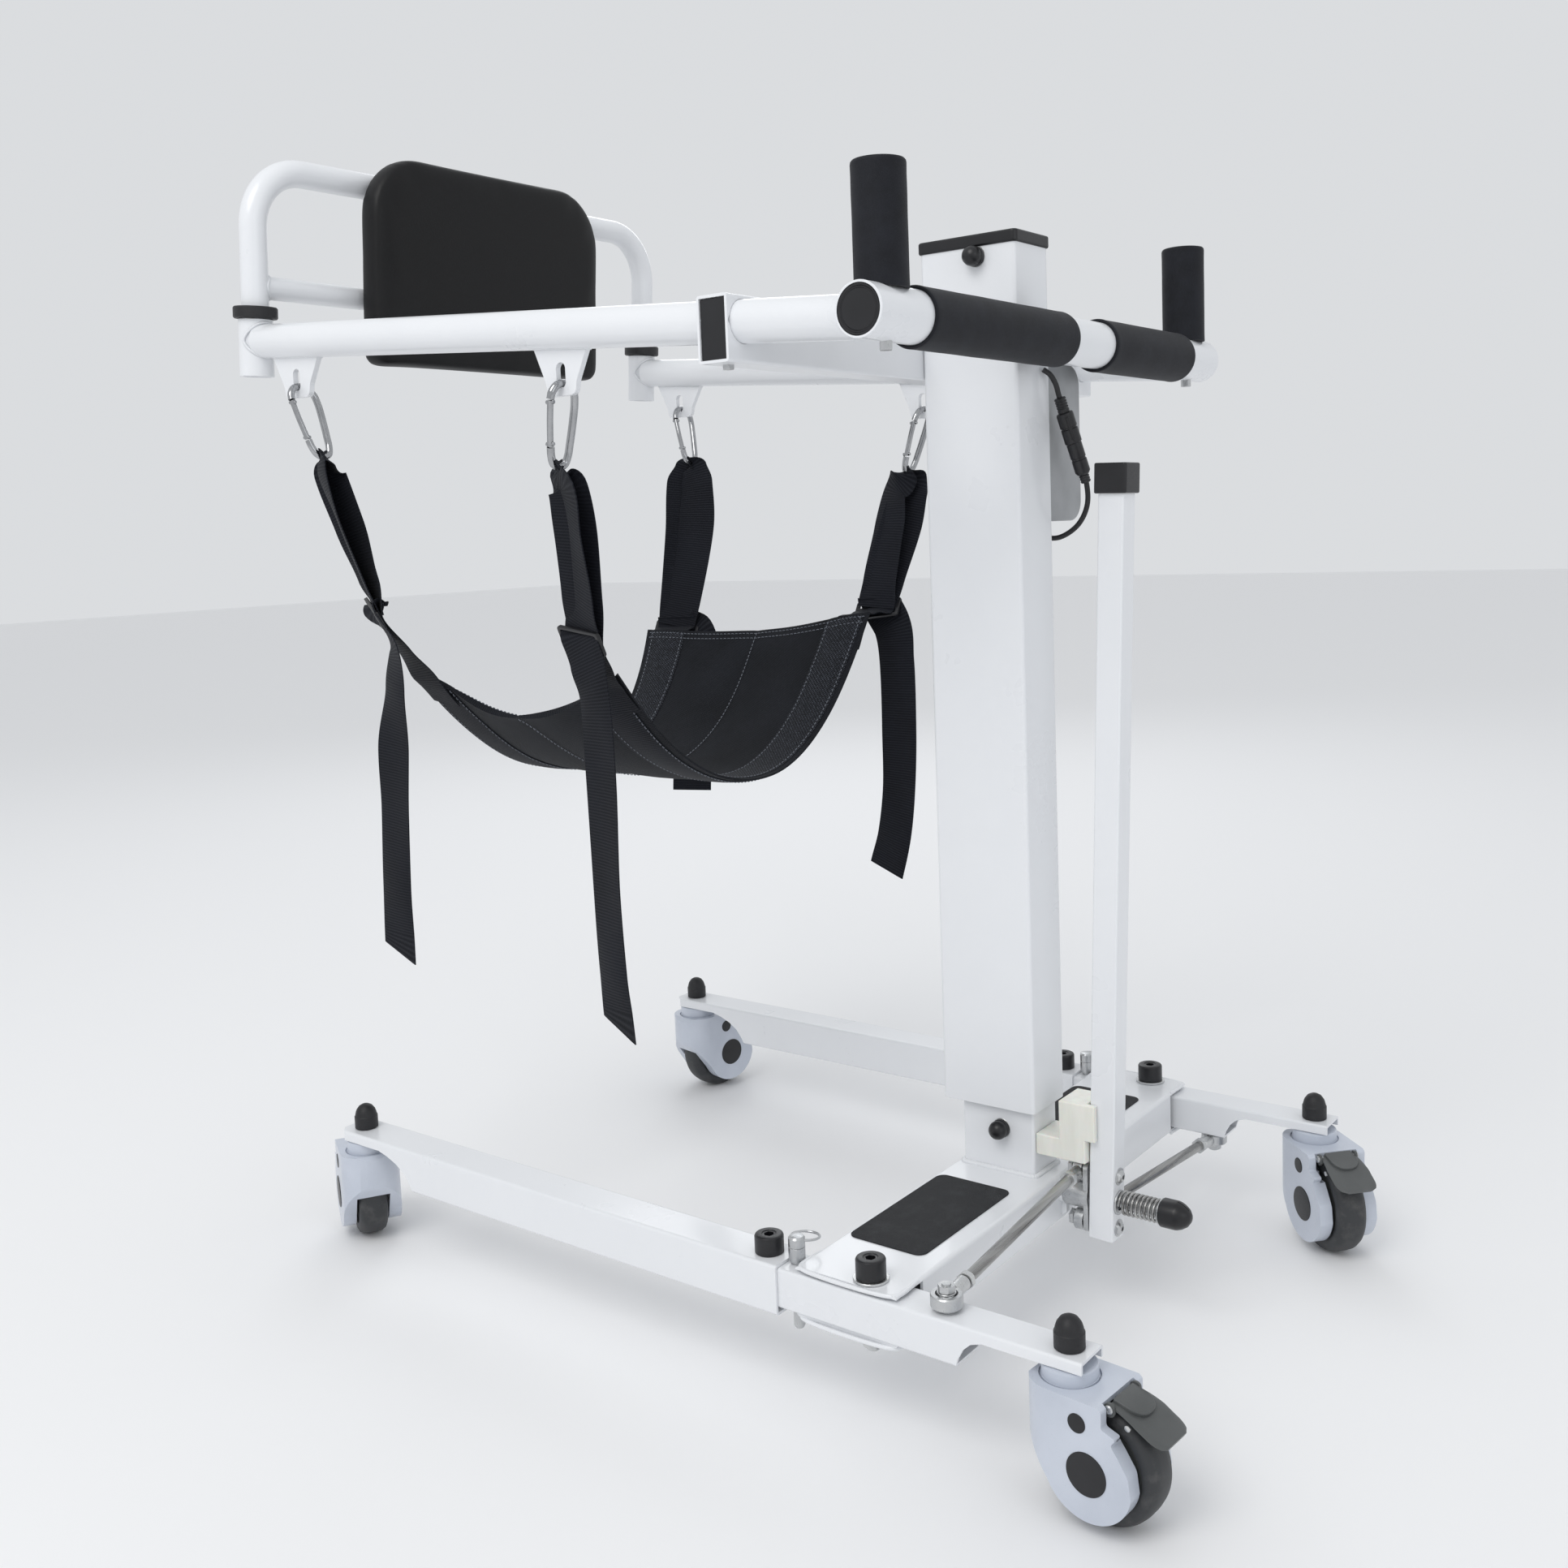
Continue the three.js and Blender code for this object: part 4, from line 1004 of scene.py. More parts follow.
def pedal_shape():
    """A flared foot lever with a raised tongue."""
    bm = bmesh.new()
    line = curved([(45, 0, 102.5), (54, 0, 101), (66, 0, 96.4), (78, 0, 89.6), (90.6, 0, 83.4)], 22)
    widths = [17.5 + 4.0 * min(1, i / 12) for i in range(23)]
    rings = []
    for i, p in enumerate(line):
        t = (line[min(i + 1, 22)] - line[max(i - 1, 0)]).normalized()
        w = Vector((-t.z, 0, t.x)) * -1
        w = w if w.z > 0 else -w
        end = max(0.0, (i - 17) / 5)
        half = widths[i] - 7.5 * (1 - math.sqrt(max(0.0, 1 - end * end)))
        thick = 4.4 - 1.4 * i / 22
        ring = []
        for k in range(13):
            v = -half + 2 * half * k / 12
            edge = max(0.0, abs(v) / half - 0.8) / 0.2
            ring.append(bm.verts.new(p + Vector((0, v, 0)) + w * (thick * 0.5 - edge * edge * 1.3)))
        for k in range(13):
            v = half - 2 * half * k / 12
            edge = max(0.0, abs(v) / half - 0.8) / 0.2
            ring.append(bm.verts.new(p + Vector((0, v, 0)) - w * (thick * 0.5 - edge * edge * 1.3)))
        rings.append(ring)
    quads(bm, rings)
    bm.faces.new(rings[0][::-1])
    bm.faces.new(rings[-1])
    tongue = fillet(rect(-14.5, 14.5, 0, 26), [2, 2, 12, 12], 8)
    slab = eased(new(prism, tongue, -2.4, 2.4), 0.8, 3)
    for v in slab.verts:
        u = v.co.y
        i = min(int(u / 26 * 12), 21)
        f = u / 26 * 12 - i
        p = line[i].lerp(line[i + 1], f)
        t = (line[i + 1] - line[i]).normalized()
        w = Vector((-t.z, 0, t.x))
        w = w if w.z > 0 else -w
        v.co = p + Vector((0, v.co.x, 0)) + w * (v.co.z + 2.6)
    tab = fillet(rect(41.5, 50.5, 95.5, 106.5), 4.2)
    tabs = [new(prism, tab, v - 1.3, v + 1.3, "xz") for v in (-19.2, 19.2)]
    return joined(bm, slab, *(eased(tab, 0.5, 2) for tab in tabs))


def build_casters():
    t, r = WHEEL["trail"], WHEEL["r"]
    for key, (s, end, yaw, channel, top) in CASTERS.items():
        node, place = key + "_caster", caster_place(s, end, yaw)
        swivel, leg = key + "_swivel", ("near" if s > 0 else "far") + "_leg"
        piece(key + "_shroud", moved(shroud(), place), "caster_grey", swivel, node + "_fork", 0, smooth=38)
        collar = new(lathe, [(0, 101), (22.3, 101), (22.3, channel - 3.0), (21.8, channel - 1.6),
                             (20.4, channel - 0.8),
                             (0, channel - 0.8)], (0, 0, 0), Z, 56)
        piece(key + "_collar", moved(collar, place), "caster_grey", swivel)
        plugs = []
        for way in (1, -1):
            plugs += [new(lathe, [(0, 0), (17.2, 0), (17.2, 1.0), (16.6, 1.4), (0, 1.7)],
                          (t, way * 30.4, r), Y * way, 48),
                      new(lathe, [(0, 0), (7.6, 0), (7.6, 0.9), (7.2, 1.2), (0, 1.4)],
                          (t - 7.5, way * 30.4, r + 38),
                          Y * way, 36)]
        piece(key + "_axle_plugs", moved(joined(*plugs), place), "black_plastic", swivel)
        axle = new(lathe, [(0, -18), (5, -18), (5, 18), (0, 18)], (t, 0, r), Y, 24)
        plate = new(lathe, [(8.8, 104.0), (20, 104.0), (20, 100), (8.8, 100)], (0, 0, 0), Z, 32)
        piece(key + "_axle", moved(joined(axle, plate), place), "zinc", swivel)
        tread = [(36.6, -12.2), (37.6, -14.9), (43, -15.4), (46.8, -13.6), (49.2, -9.6), (r, -4), (r, 4),
                 (49.2, 9.6), (46.8, 13.6), (43, 15.4), (37.6, 14.9), (36.6, 12.2)]
        piece(key + "_tyre", moved(new(lathe, tread, (t, 0, r), Y, 96), place), "tyre", key + "_wheel",
              node + "_wheel", 0, smooth=50)
        hub = [(5.4, -12.5), (12, -12.5), (13, -11), (32, -9.5), (34, -12), (37, -12.4), (37, 12.4), (34, 12),
               (32, 9.5), (13, 11), (12, 12.5), (5.4, 12.5)]
        piece(key + "_hub", moved(new(lathe, hub, (t, 0, r), Y, 64), place), "grey_plastic", key + "_wheel")
        stem = dome_cap((s * LEG["x"], LEG[end], top + 0.3))
        piece(key + "_stem_cap", stem, "black_rubber", leg, node + "_stem", 0, smooth=40)
        screw = new(lathe, [(0, 0), (8, 0), (8, 24), (0, 24)], (s * LEG["x"], LEG[end], top - 30 + 4), Z, 24)
        piece(key + "_stem", screw, "zinc", leg)
        if end == "rear":
            body = key + "_pedal"
            piece(key + "_pedal_lever", moved(pedal_shape(), place), "grey_plastic", body,
                  node + "_brake_pedal", 0, smooth=40)
            eyes = [new(lathe, [(0, 0), (3.6, 0), (3.6, 1.2), (2.6, 2.0), (1.4, 2.0), (1.2, 1.3), (0, 1.3)],
                        (46, way * 20.4, 101.8), Y * way, 24) for way in (1, -1)]
            eyes.append(new(lathe, [(0, -18), (2.4, -18), (2.4, 18), (0, 18)], (46, 0, 101.8), Y, 16))
            eyes += [new(lathe, [(0, 0), (2.4, 0), (2.4, 1), (1, 1.5), (0, 1.5)], (62, way * 21, 93),
                         Y * way, 20)
                     for way in (1, -1)]
            piece(key + "_pedal_pins", moved(joined(*eyes), place), "zinc", body)


# ---------------------------------------------------------------- lever and tie rods
def leaning(bm):
    pivot = Vector((0, LEVER["y"], LEVER["foot"]))
    turn = Matrix.Translation(pivot) @ Matrix.Rotation(-math.atan(LEVER["lean"]), 4,
                                                       "X") @ Matrix.Translation(-pivot)
    return moved(bm, turn)


def build_lever():
    z, up, low = PIVOT_Z, PIVOT_Z + STUD_ARM, PIVOT_Z - STUD_ARM
    refined("leg_lever", "white_coat", "lever", 1.3, 3)
    refined("lever_cap", "black_plastic", "lever", 1.6, 4)
    refined("lever_stop_block", "nylon", "base", 1.3, 3)
    back = LEVER["back"]
    screws = [leaning(joined(button_screw((0, back, h), Y, 6.6, 4.2),
                             washer((0, back - 0.1, h), Y, 8.2, 3, 1.1)))
              for h in (up, low)]
    screws.append(leaning(washer((0, back + 0.2, z), Y, 11.6, 7.4, 1.8)))
    piece("lever_screws", joined(*screws), "zinc", "lever")
    refined("lever_hub", "zinc", "lever_swivel", 0.7, 2)
    bolt = [(0, 112), (12.6, 112), (13.4, 113), (13.4, 126), (12.9, 128.4), (11.4, 132.2), (8.4, 136.6),
            (4.4, 139.4),
            (0, 140)]
    knob = new(lathe, bolt, (0, 25.5, z), Y, 48)
    piece("lever_bolt_knob", carve(knob, new(prism, rect(-0.4, 0.4, z + 4, z + 16), 152, 163, "xz")),
          "black_plastic",
          "base", "lever_pivot_bolt", 0, smooth=40)
    shaft = new(lathe, [(0, 6.2), (5.7, 6.2), (5.7, 113), (0, 113)], (0, 25.5, z), Y, 28)
    piece("lever_bolt_shaft", joined(shaft, washer((0, 136.0, z), Y, 12.4, 6, 1.2)),
          "zinc", "base")
    holder = bpy.data.objects.new("coil_holder", bpy.data.meshes.new("coil_holder"))
    bpy.context.collection.objects.link(holder)
    coil = grow(COIL, holder, Turns=9.0, Radius=10.0 * MM, Length=38.4 * MM, Wire=1.45 * MM,
                Finish=LOOK["rod"])
    drop(holder)
    place = Matrix.Translation(on_frame((0, 97.6, z))) @ Matrix.Rotation(-math.pi / 2, 4, "X")
    coil.transform(place)
    spring = show("lever_spring_coil", coil, "rod", "base", "lever_spring", 60)
    spring.modifiers.clear()
    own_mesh(spring)
    for side, s, zh, zl in (("near", 1, up, ROD["near"]), ("far", -1, low, ROD["far"])):
        a, b = Vector((0, 55, zh)), Vector((s * LEG["x"], ROD["y"], zl))
        d, span = (b - a).normalized(), (b - a).length
        rod = new(lathe, [(0, 24), (4.2, 24), (4.2, 30), (5, 32), (5, span - 38), (4.2, span - 36),
                          (4.2, span - 30),
                          (0, span - 30)], a, d, 36)
        piece(side + "_tie_shaft", rod, "rod", side + "_rod", side + "_tie_rod")
        flat = new(lathe, [(5.6, -4.6), (10.2, -4.6), (10.6, -4), (10.6, 4), (10.2, 4.6), (5.6, 4.6)], a, Y,
                   40)
        eye = new(lathe, [(9.4, -5.4), (12.8, -5.4), (13.6, -4.4), (13.6, 4.4), (12.8, 5.4), (9.4, 5.4),
                          (9.1, 4.2),
                          (9.1, -4.2)], b, Z, 48)
        necks = joined(flat, eye, new(lathe, [(0, 9), (5.2, 9), (5.4, 17.5), (6.4, 20), (6.4, 27),
                                              (5.6, 27.6), (0, 27.6)],
                                      a, d, 32),
                       new(lathe, [(0, 12.5), (6.2, 12.5), (6.4, 15), (6.4, 30), (5.4, 31), (0, 31)], b, -d,
                           32),
                       hex_nut(a + d * 28, d, 8, 5.4), hex_nut(b - d * 32, -d, 8, 5.6))
        piece(side + "_rod_ends", necks, "zinc", side + "_rod")


# ---------------------------------------------------------------- mast
def ball_bolt(half, z, name, body, node):
    """A through bolt: a ball cap on the near side and a flat head on the far side."""
    cap = new(lathe, [(0, half + 0.3), (8.6, half + 0.3), (9.0, half + 0.8), (9.0, half + 3.4),
                      (8.2, half + 4.4),
                      (8.9, half + 6.2), (8.9, half + 9.0), (7.8, half + 12.2), (5.4, half + 14.4),
                      (2.6, half + 15.3),
                      (0, half + 15.4)], (0, BOLT_Y, z), X, 44)
    head = new(lathe, [(0, half + 0.3), (8.2, half + 0.3), (8.2, half + 5), (7.2, half + 6), (0, half + 6)],
               (0, BOLT_Y, z), -X, 6)
    shank = new(lathe, [(0, -half - 1), (5, -half - 1), (5, half + 1), (0, half + 1)], (0, BOLT_Y, z), X, 20)
    piece(name, joined(cap, head, shank), "black_plastic", body, node, 0.3, 2)
    piece(name + "_washer", washer((half - 0.1, BOLT_Y, z), X, 9.6, 5, 0.5), "zinc", body)


def build_mast():
    refined("mast_inner_tube", "white_coat", "base", 0.8, 2)
    refined("mast_outer_tube", "white_coat", "carriage", 0.9, 2)
    m = MAST
    lid = new(prism, fillet(rect(-m["x"] - 2, m["x"] + 2, m["y0"] - 2, m["y1"] + 2), 5, 6), m["top"] - 1.2,
              m["top"] + 10)
    piece("mast_lid", lid, "black_plastic", "carriage", "mast_cap", 2.0, 4)
    ball_bolt(INNER["x"], 175, "mast_foot_bolt", "base", "mast_lower_bolt")
    ball_bolt(m["x"], 998, "mast_head_bolt", "carriage", "mast_upper_bolt")
    tube = [(0, 160), (16.4, 160), (17, 161), (17, 200), (16.2, 201), (16.2, 203), (17, 204), (17, 558),
            (16, 560),
            (10, 560), (10, 210), (0, 210)]
    piece("actuator_tube", new(lathe, tube, (0, BOLT_Y, 0), Z, 40), "actuator_black", "base", "actuator_body")
    piece("actuator_ram", new(lathe, [(0, 212), (9, 212), (9.6, 213), (9.6, 1004), (9, 1005), (0, 1005)],
                              (0, BOLT_Y, 0), Z, 36), "chrome", "carriage", "actuator_rod")


def build_control_box():
    """A plain grey box with a parting line round it and two screws on each edge."""
    x0, x1, z0, z1 = BOX["x0"], BOX["x1"], BOX["z0"], BOX["z1"]
    outline = fillet([(x0, z0), (x1, z0), (x1, z1), (x0, z1)], [20, 6, 6, 20], 10)
    shell = new(prism, outline, BOX["y0"], BOX["y1"], "xz")
    parting = new(prism, rect(x0 - 5, x1 + 5, z0 - 5, z1 + 5), -13.5, -12.7, "xz")
    core = new(prism, fillet([(x0 + 1, z0 + 1), (x1 - 1, z0 + 1), (x1 - 1, z1 - 1), (x0 + 1, z1 - 1)],
                             [19, 5, 5, 19], 10), -15, -11, "xz")
    piece("control_box_shell", joined(carve(eased(shell, 2.4, 4), parting), core), "box_grey", "carriage",
          "control_box", 0, smooth=38)
    screws = [button_screw((x, y, z), X * -1, 2.6, 1.2) for x, y, z in
              ((x0 - 0.1, -36, 785), (x0 - 0.1, -36, 880), (x0 - 0.1, 8, 785), (x0 - 0.1, 8, 880))]
    piece("control_box_screws", joined(*screws), "zinc", "carriage")


CABLE_ROUTE = [(-13, 24.6, 896), (-17.5, 29, 891.5), (-22.5, 32.2, 882.5), (-26, 33.5, 872),
               (-39, 40.2, 831.5), (-52, 47, 791),
               (-56, 45, 770), (-59, 33, 752), (-62, 10, 741), (-64, -10, 745), (-64, -14, 756.4)]


def build_cable():
    path = curved(CABLE_ROUTE, 90)
    cable = piece("control_lead", new(sweep, path, circle(2.5, 16), (1, 0.3, 0.2)), "cable", "carriage",
                  "control_cable", 0, smooth=80)
    start, end = Vector(CABLE_ROUTE[3]), Vector(CABLE_ROUTE[5])
    d = (end - start).normalized()
    ribs = [(5.6 if i % 2 else 5.0, 2 + i * 1.3) for i in range(10)]
    plug = new(lathe, [(0, 1), *ribs, (5.2, 16), (7.4, 16.6), (8, 18), (8, 30), (7.2, 30.4), (7.2, 31.6),
                       (8, 32),
                       (8, 45), (6.4, 46.5), (0, 46.5)], start, d, 28)
    socket = new(lathe, [(0, 46), (7.0, 46), (7.2, 47), (7.2, 60), (6.6, 60.4), (6.6, 62), (7.2, 62.4),
                         (7.2, 74),
                         (5.4, 76.6), *((4.9 if i % 2 else 4.3, 77.5 + i * 1.2) for i in range(7)), (0, 86)],
                 start, d, 28)
    wing = eased(new(prism, rect(-1.4, 1.4, 20, 42), -9.2, 9.2, "xz"), 0.4, 2)
    turn = Matrix.Translation(start) @ Vector((0, 0, 1)).rotation_difference(d).to_matrix().to_4x4()
    link = piece("lead_connector", joined(plug, socket, moved(wing, turn)), "black_plastic", "carriage")
    metres = sum((b - a).length for a, b in zip(path, path[1:])) * MM


# ---------------------------------------------------------------- arms, crossbar and handle
def gusset(x, y, top, low):
    """A hanger plate under an arm, with a rounded foot and a slot."""
    zt = arm_z(y) - ARM["r"] + 1.5
    zb = zt - GUSSET
    flare = top * ARM["slope"]
    outline = fillet([(y - low, zb), (y + low, zb), (y + low + 2, zb + 12), (y + top, zt - flare),
                      (y - top, zt + flare),
                      (y - low - 2, zb + 12)], [13, 13, 16, 0, 0, 16], 8)
    slot = fillet(rect(y - 5.5, y + 5.5, zb + 7, zb + 29), 5.4, 8)
    return eased(new(prism, outline, x - 3, x + 3, "yz", [slot]), 0.6, 2)


def build_arms():
    b = BAR
    bar = cad_shape("arm_crossbar")
    for v in bar.verts:
        if abs(v.co.x) > b["x"] - 1:
            v.co.x += math.copysign(2.0, v.co.x)
    piece("arm_crossbar_shape", bar, "white_coat", "carriage", "arm_crossbar", 0.7, 3)
    for side, s in SIDES:
        x = s * ARM["x"]
        inner, outer = sorted((s * (b["x"] - 5.2), s * (b["x"] + 0.6)))
        plug = new(prism, fillet(rect(b["y0"] + 2.6, b["y1"] - 2.6, b["z0"] + 2.6, b["z1"] - 2.6), 1.6, 4),
                   inner, outer,
                   "yz")
        piece(side + "_bar_plug", plug, "black_plastic", "carriage", (), 0.8, 3)
        axis = (Vector((x, HANDLE["y"], arm_z(HANDLE["y"]))) - Vector((x, ARM["y0"], ARM["z0"])))
        length, axis = axis.length, axis.normalized()
        r = ARM["r"]
        tube = new(lathe, [(0, 12), (r, 12), (r, length - 17), (0, length - 17)], (x, ARM["y0"], ARM["z0"]),
                   axis, 64)
        root = Vector((x, ARM["y0"], ARM["z0"]))
        sleeve = new(lathe, [(HOOP["r"] + 0.5, -36), (16.8, -36), (r, -35.3), (r, 22.4), (16.8, 23),
                             (HOOP["r"] + 0.5, 23)], root, UP_ARM, 64)
        saddle = carve(tube, new(lathe, [(0, -400), (HANDLE["r"] + 0.3, -400), (HANDLE["r"] + 0.3, 400),
                                         (0, 400)],
                                 (0, HANDLE["y"], HANDLE["z"]), X, 64))
        plates = [gusset(x, h["y"], h["top"], h["foot"]) for h in HANGERS.values()]
        piece(side + "_arm", joined(saddle, sleeve, *plates), "white_coat", "carriage", side + "_side_arm")
        joint = [root + UP_ARM * (math.sin(a) * (r + 0.4)) + X * (math.cos(a) * (r + 0.4)) + Y *
                 (r * math.sqrt(max(0.0, 1 - (math.cos(a) * 0.97) ** 2)) * 0.98 + 0.2)
                 for a in (2 * math.pi * i / 60 for i in range(60))]
        weld(side + "_socket_weld", joint, Y, "carriage", 1.7)
        for end, hanger in HANGERS.items():
            y, top = hanger["y"], hanger["top"]
            for way in (1, -1):
                seam = [((x + way * 3.6, y + k * top * 0.96, arm_z(y + k * top) - r + 0.7), X * way)
                        for k in (-1 + i / 10 for i in range(21))]
                along(f"{side}_{end}_{'outer' if way * s > 0 else 'inner'}_seam", [seam], ripple(1.5), 1.1,
                      "white_coat", "carriage", 80)
        collar = new(lathe, [(14.3, -6), (21.4, -6), (22.5, -4.6), (22.5, 4.6), (21.4, 6), (14.3, 6)],
                     root + UP_ARM * 29.4, UP_ARM, 56)
        piece(side + "_socket_ring", collar, "black_rubber", "carriage")
        nub = hex_nut((x, BAR["y0"] + 14, b["z0"] + 0.1), -Z, 5, 4)
        piece(side + "_bar_nut", nub, "zinc", "carriage")


def build_handle():
    h = HANDLE
    at = (0, h["y"], h["z"])
    wall = [(19, -h["x"]), (21.1, -h["x"]), (21.5, -h["x"] + 0.5), (21.5, h["x"] - 0.5), (21.1, h["x"]),
            (19, h["x"])]
    piece("handle_tube", new(lathe, wall, at, X, 72), "white_coat", "carriage", "handle_bar")
    for side, s in SIDES:
        plug = [(0, h["x"] - 14), (18.8, h["x"] - 14), (18.8, h["x"] - 0.4), (19.6, h["x"] - 0.2),
                (19.6, h["x"]),
                (17.6, h["x"]), (16.9, h["x"] - 0.8), (15.9, h["x"] - 0.8), (15.2, h["x"] - 0.1), (0, h["x"])]
        piece(side + "_handle_plug", new(lathe, plug, at, X * s, 64), "black_plastic", "carriage")
        clamp = hex_nut((s * 283, h["y"], h["z"] - h["r"] + 0.5), -Z, 5.2, 7)
        piece(side + "_handle_nut", clamp, "zinc", "carriage")
    for side, x0, x1 in (("near", 4, 246), ("far", -252, -72)):
        lumpy = [(21.9, x0 + 0.2), (23.3, x0), (24.3, x0 + 0.9), (24.7, x0 + 2.8)]
        for i in range(1, 30):
            x = x0 + (x1 - x0) * i / 30
            lumpy.append((24.5 + 0.25 * noise.noise(Vector((x * 0.03, 2.0 * (side == "near"), 0))), x))
        lumpy += [(24.7, x1 - 2.8), (24.3, x1 - 0.9), (23.3, x1), (21.9, x1 - 0.2)]
        piece(side + "_foam_sleeve", new(lathe, lumpy, at, X, 72), "foam", "carriage", side + "_foam_grip")
    for side, s in SIDES:
        profile = [(0, 18), (21.5, 18)]
        for i in range(1, 12):
            z = 18 + 92 * i / 12
            profile.append((21.35 + 0.2 * noise.noise(Vector((z * 0.05, s, 3))), z))
        profile += [(21.5, 110), (21.2, 111.8), (20.2, 113.0), (18.4, 113.4), (0, 113.5)]
        post = new(lathe, profile, (s * 283, h["y"] - 2, h["z"]), Z, 64)
        post = carve(post, new(lathe, [(0, -400), (h["r"] + 0.2, -400), (h["r"] + 0.2, 400), (0, 400)], at,
                               X, 64))
        piece(side + "_post_sleeve", post, "foam", "carriage", side + "_post_grip", 0, smooth=40)


def build_carabiners():
    for side, s in SIDES:
        x = s * ARM["x"]
        for end, hanger in HANGERS.items():
            y, lean = hanger["y"], hanger["lean"]
            top = arm_z(y) - ARM["r"] + 1.5 - GUSSET + 7 + 4.3

            def put(u, v):
                return Vector((x + u + s * v * 0.12, y - v * lean / 72, top + v))

            half = [(0, 0), (8, -2), (13.5, -8), (15, -17), (14, -34), (12, -52), (10.5, -62), (7, -69.5),
                    (0, -72)]
            body = curved([put(*p) for p in ((15, -14), (13.5, -8), (8, -2))] + [put(-u, v) for u, v in half]
                          + [put(7, -69.5), put(10.5, -62), put(11.6, -55)], 110)
            gate = curved([put(15, -15), put(14, -34), put(12, -54)], 24)
            rivet = [new(lathe, [(0, -4.6), (1.6, -4.6), (1.9, -4.2), (1.9, 4.2), (1.6, 4.6), (0, 4.6)], p,
                         Y, 16)
                     for p in (gate[1], gate[-2])]
            link = joined(new(sweep, body, circle(3.6, 20), Y), new(sweep, gate, circle(2.9, 18), Y), *rivet)
            piece(f"{side}_{end}_snap_hook", link, "chrome", "carriage", f"{side}_{end}_carabiner", 0,
                  smooth=50)


# ---------------------------------------------------------------- backrest
def build_backrest():
    def at(x, k):
        return Vector((x, ARM["y0"], ARM["z0"])) + UP_ARM * k

    a = ARM["x"]
    corners = [(-a, -30.5), (-a, HOOP["top"]), (a, HOOP["top"]), (a, -30.5)]
    path = [at(*p) for p in fillet(corners, [0, HOOP["bend"], HOOP["bend"], 0], 20)]
    legs = [at(-a, -30.5 + (HOOP["top"] - HOOP["bend"] + 30) * i / 8) for i in range(8)]
    path = legs + path[1:-1] + [Vector((-p.x, p.y, p.z)) for p in reversed(legs)]
    hoop = new(sweep, path, circle(HOOP["r"], 40), OUT_BACK)
    rail = new(lathe, [(0, -a), (12, -a), (12, a), (0, a)], at(0, HOOP["low"]), X, 40)
    piece("backrest_hoop", joined(hoop, rail), "white_coat", "backrest", "backrest_frame", 0, smooth=50)
    for side, s in SIDES:
        ring = []
        for i in range(48):
            t = 2 * math.pi * i / 48
            depth = math.sqrt(max(0.0, HOOP["r"] ** 2 - (12.2 * math.sin(t)) ** 2))
            ring.append(at(s * (a - depth - 0.3), HOOP["low"] + 12.6 * math.cos(t)) + OUT_BACK
                        * (12.6 * math.sin(t)))
        weld(side + "_rail_weld", ring, -X * s, "backrest", 1.5)
    build_pad()


def pad_block(half, low, high, thick, corner_top, corner_low):
    """A slab with rounded corners and rounded edges, as nested outlines; local x, height, depth."""
    bm = bmesh.new()
    outline = fillet([(-half, low), (half, low), (half, high), (-half, high)],
                     [corner_low, corner_low, corner_top, corner_top], 14)
    centre = Vector((0, (low + high) / 2))
    edge = 9.0
    layers = [(edge * (1 - math.sin(q)), edge * (1 - math.cos(q))) for q in
              (math.radians(15 * i) for i in range(7))]
    levels = layers + [(inset, thick - depth) for inset, depth in reversed(layers)]
    rings = []
    for inset, depth in levels:
        ring = []
        for u, v in outline:
            cu, cv = u - centre.x, v - centre.y
            ku = 1 - inset / half
            kv = 1 - inset / ((high - low) / 2)
            ring.append(bm.verts.new((cu * ku, centre.y + cv * kv, depth)))
        rings.append(ring)
    quads(bm, rings)
    for ring, deep in ((rings[0], 0.0), (rings[-1], thick)):
        inner = ring
        for k in (0.75, 0.5, 0.25):
            nxt = [bm.verts.new((v.co.x * k, centre.y + (v.co.y - centre.y) * k, deep)) for v in ring]
            quads(bm, [inner, nxt])
            inner = nxt
        bm.faces.new(inner)
    return bm


def swell(bm, pressure, cap):
    """bm remeshed and puffed by cloth under pressure, each point moving at most cap millimetres."""
    source = temp(tidy_faces(moved(bm, Matrix.Scale(MM, 4))), "swell")
    remesh = source.modifiers.new("remesh", "REMESH")
    remesh.mode, remesh.voxel_size = "VOXEL", 5.0 * MM
    mesh = plain_mesh(source)
    drop(source)
    soft = bpy.data.objects.new("soft", mesh)
    bpy.context.collection.objects.link(soft)
    rest = np.array([v.co for v in mesh.vertices])
    cloth = soft.modifiers.new("cloth", "CLOTH")
    cloth.settings.use_pressure = True
    cloth.settings.uniform_pressure_force = pressure
    cloth.settings.tension_stiffness = cloth.settings.compression_stiffness = 30
    cloth.settings.bending_stiffness = 2
    cloth.settings.quality = 5
    cloth.settings.effector_weights.gravity = 0
    cloth.collision_settings.use_collision = False
    for step in range(1, 21):
        bpy.context.scene.frame_set(step)
    shown = plain_mesh(soft)
    now = np.array([v.co for v in shown.vertices])
    bpy.context.scene.frame_set(1)
    shift = now - rest
    size = np.linalg.norm(shift, axis=1, keepdims=True)
    shift *= np.minimum(1, cap * MM / np.maximum(size, 1e-9))
    mesh.vertices.foreach_set("co", (rest + shift).astype(np.float32).ravel())
    soft.modifiers.clear()
    smoother = soft.modifiers.new("smooth", "SMOOTH")
    smoother.iterations, smoother.factor = 6, 0.5
    finer = soft.modifiers.new("finer", "SUBSURF")
    finer.levels = finer.render_levels = 1
    bpy.data.meshes.remove(shown)
    return moved(taken(soft), Matrix.Scale(1 / MM, 4))


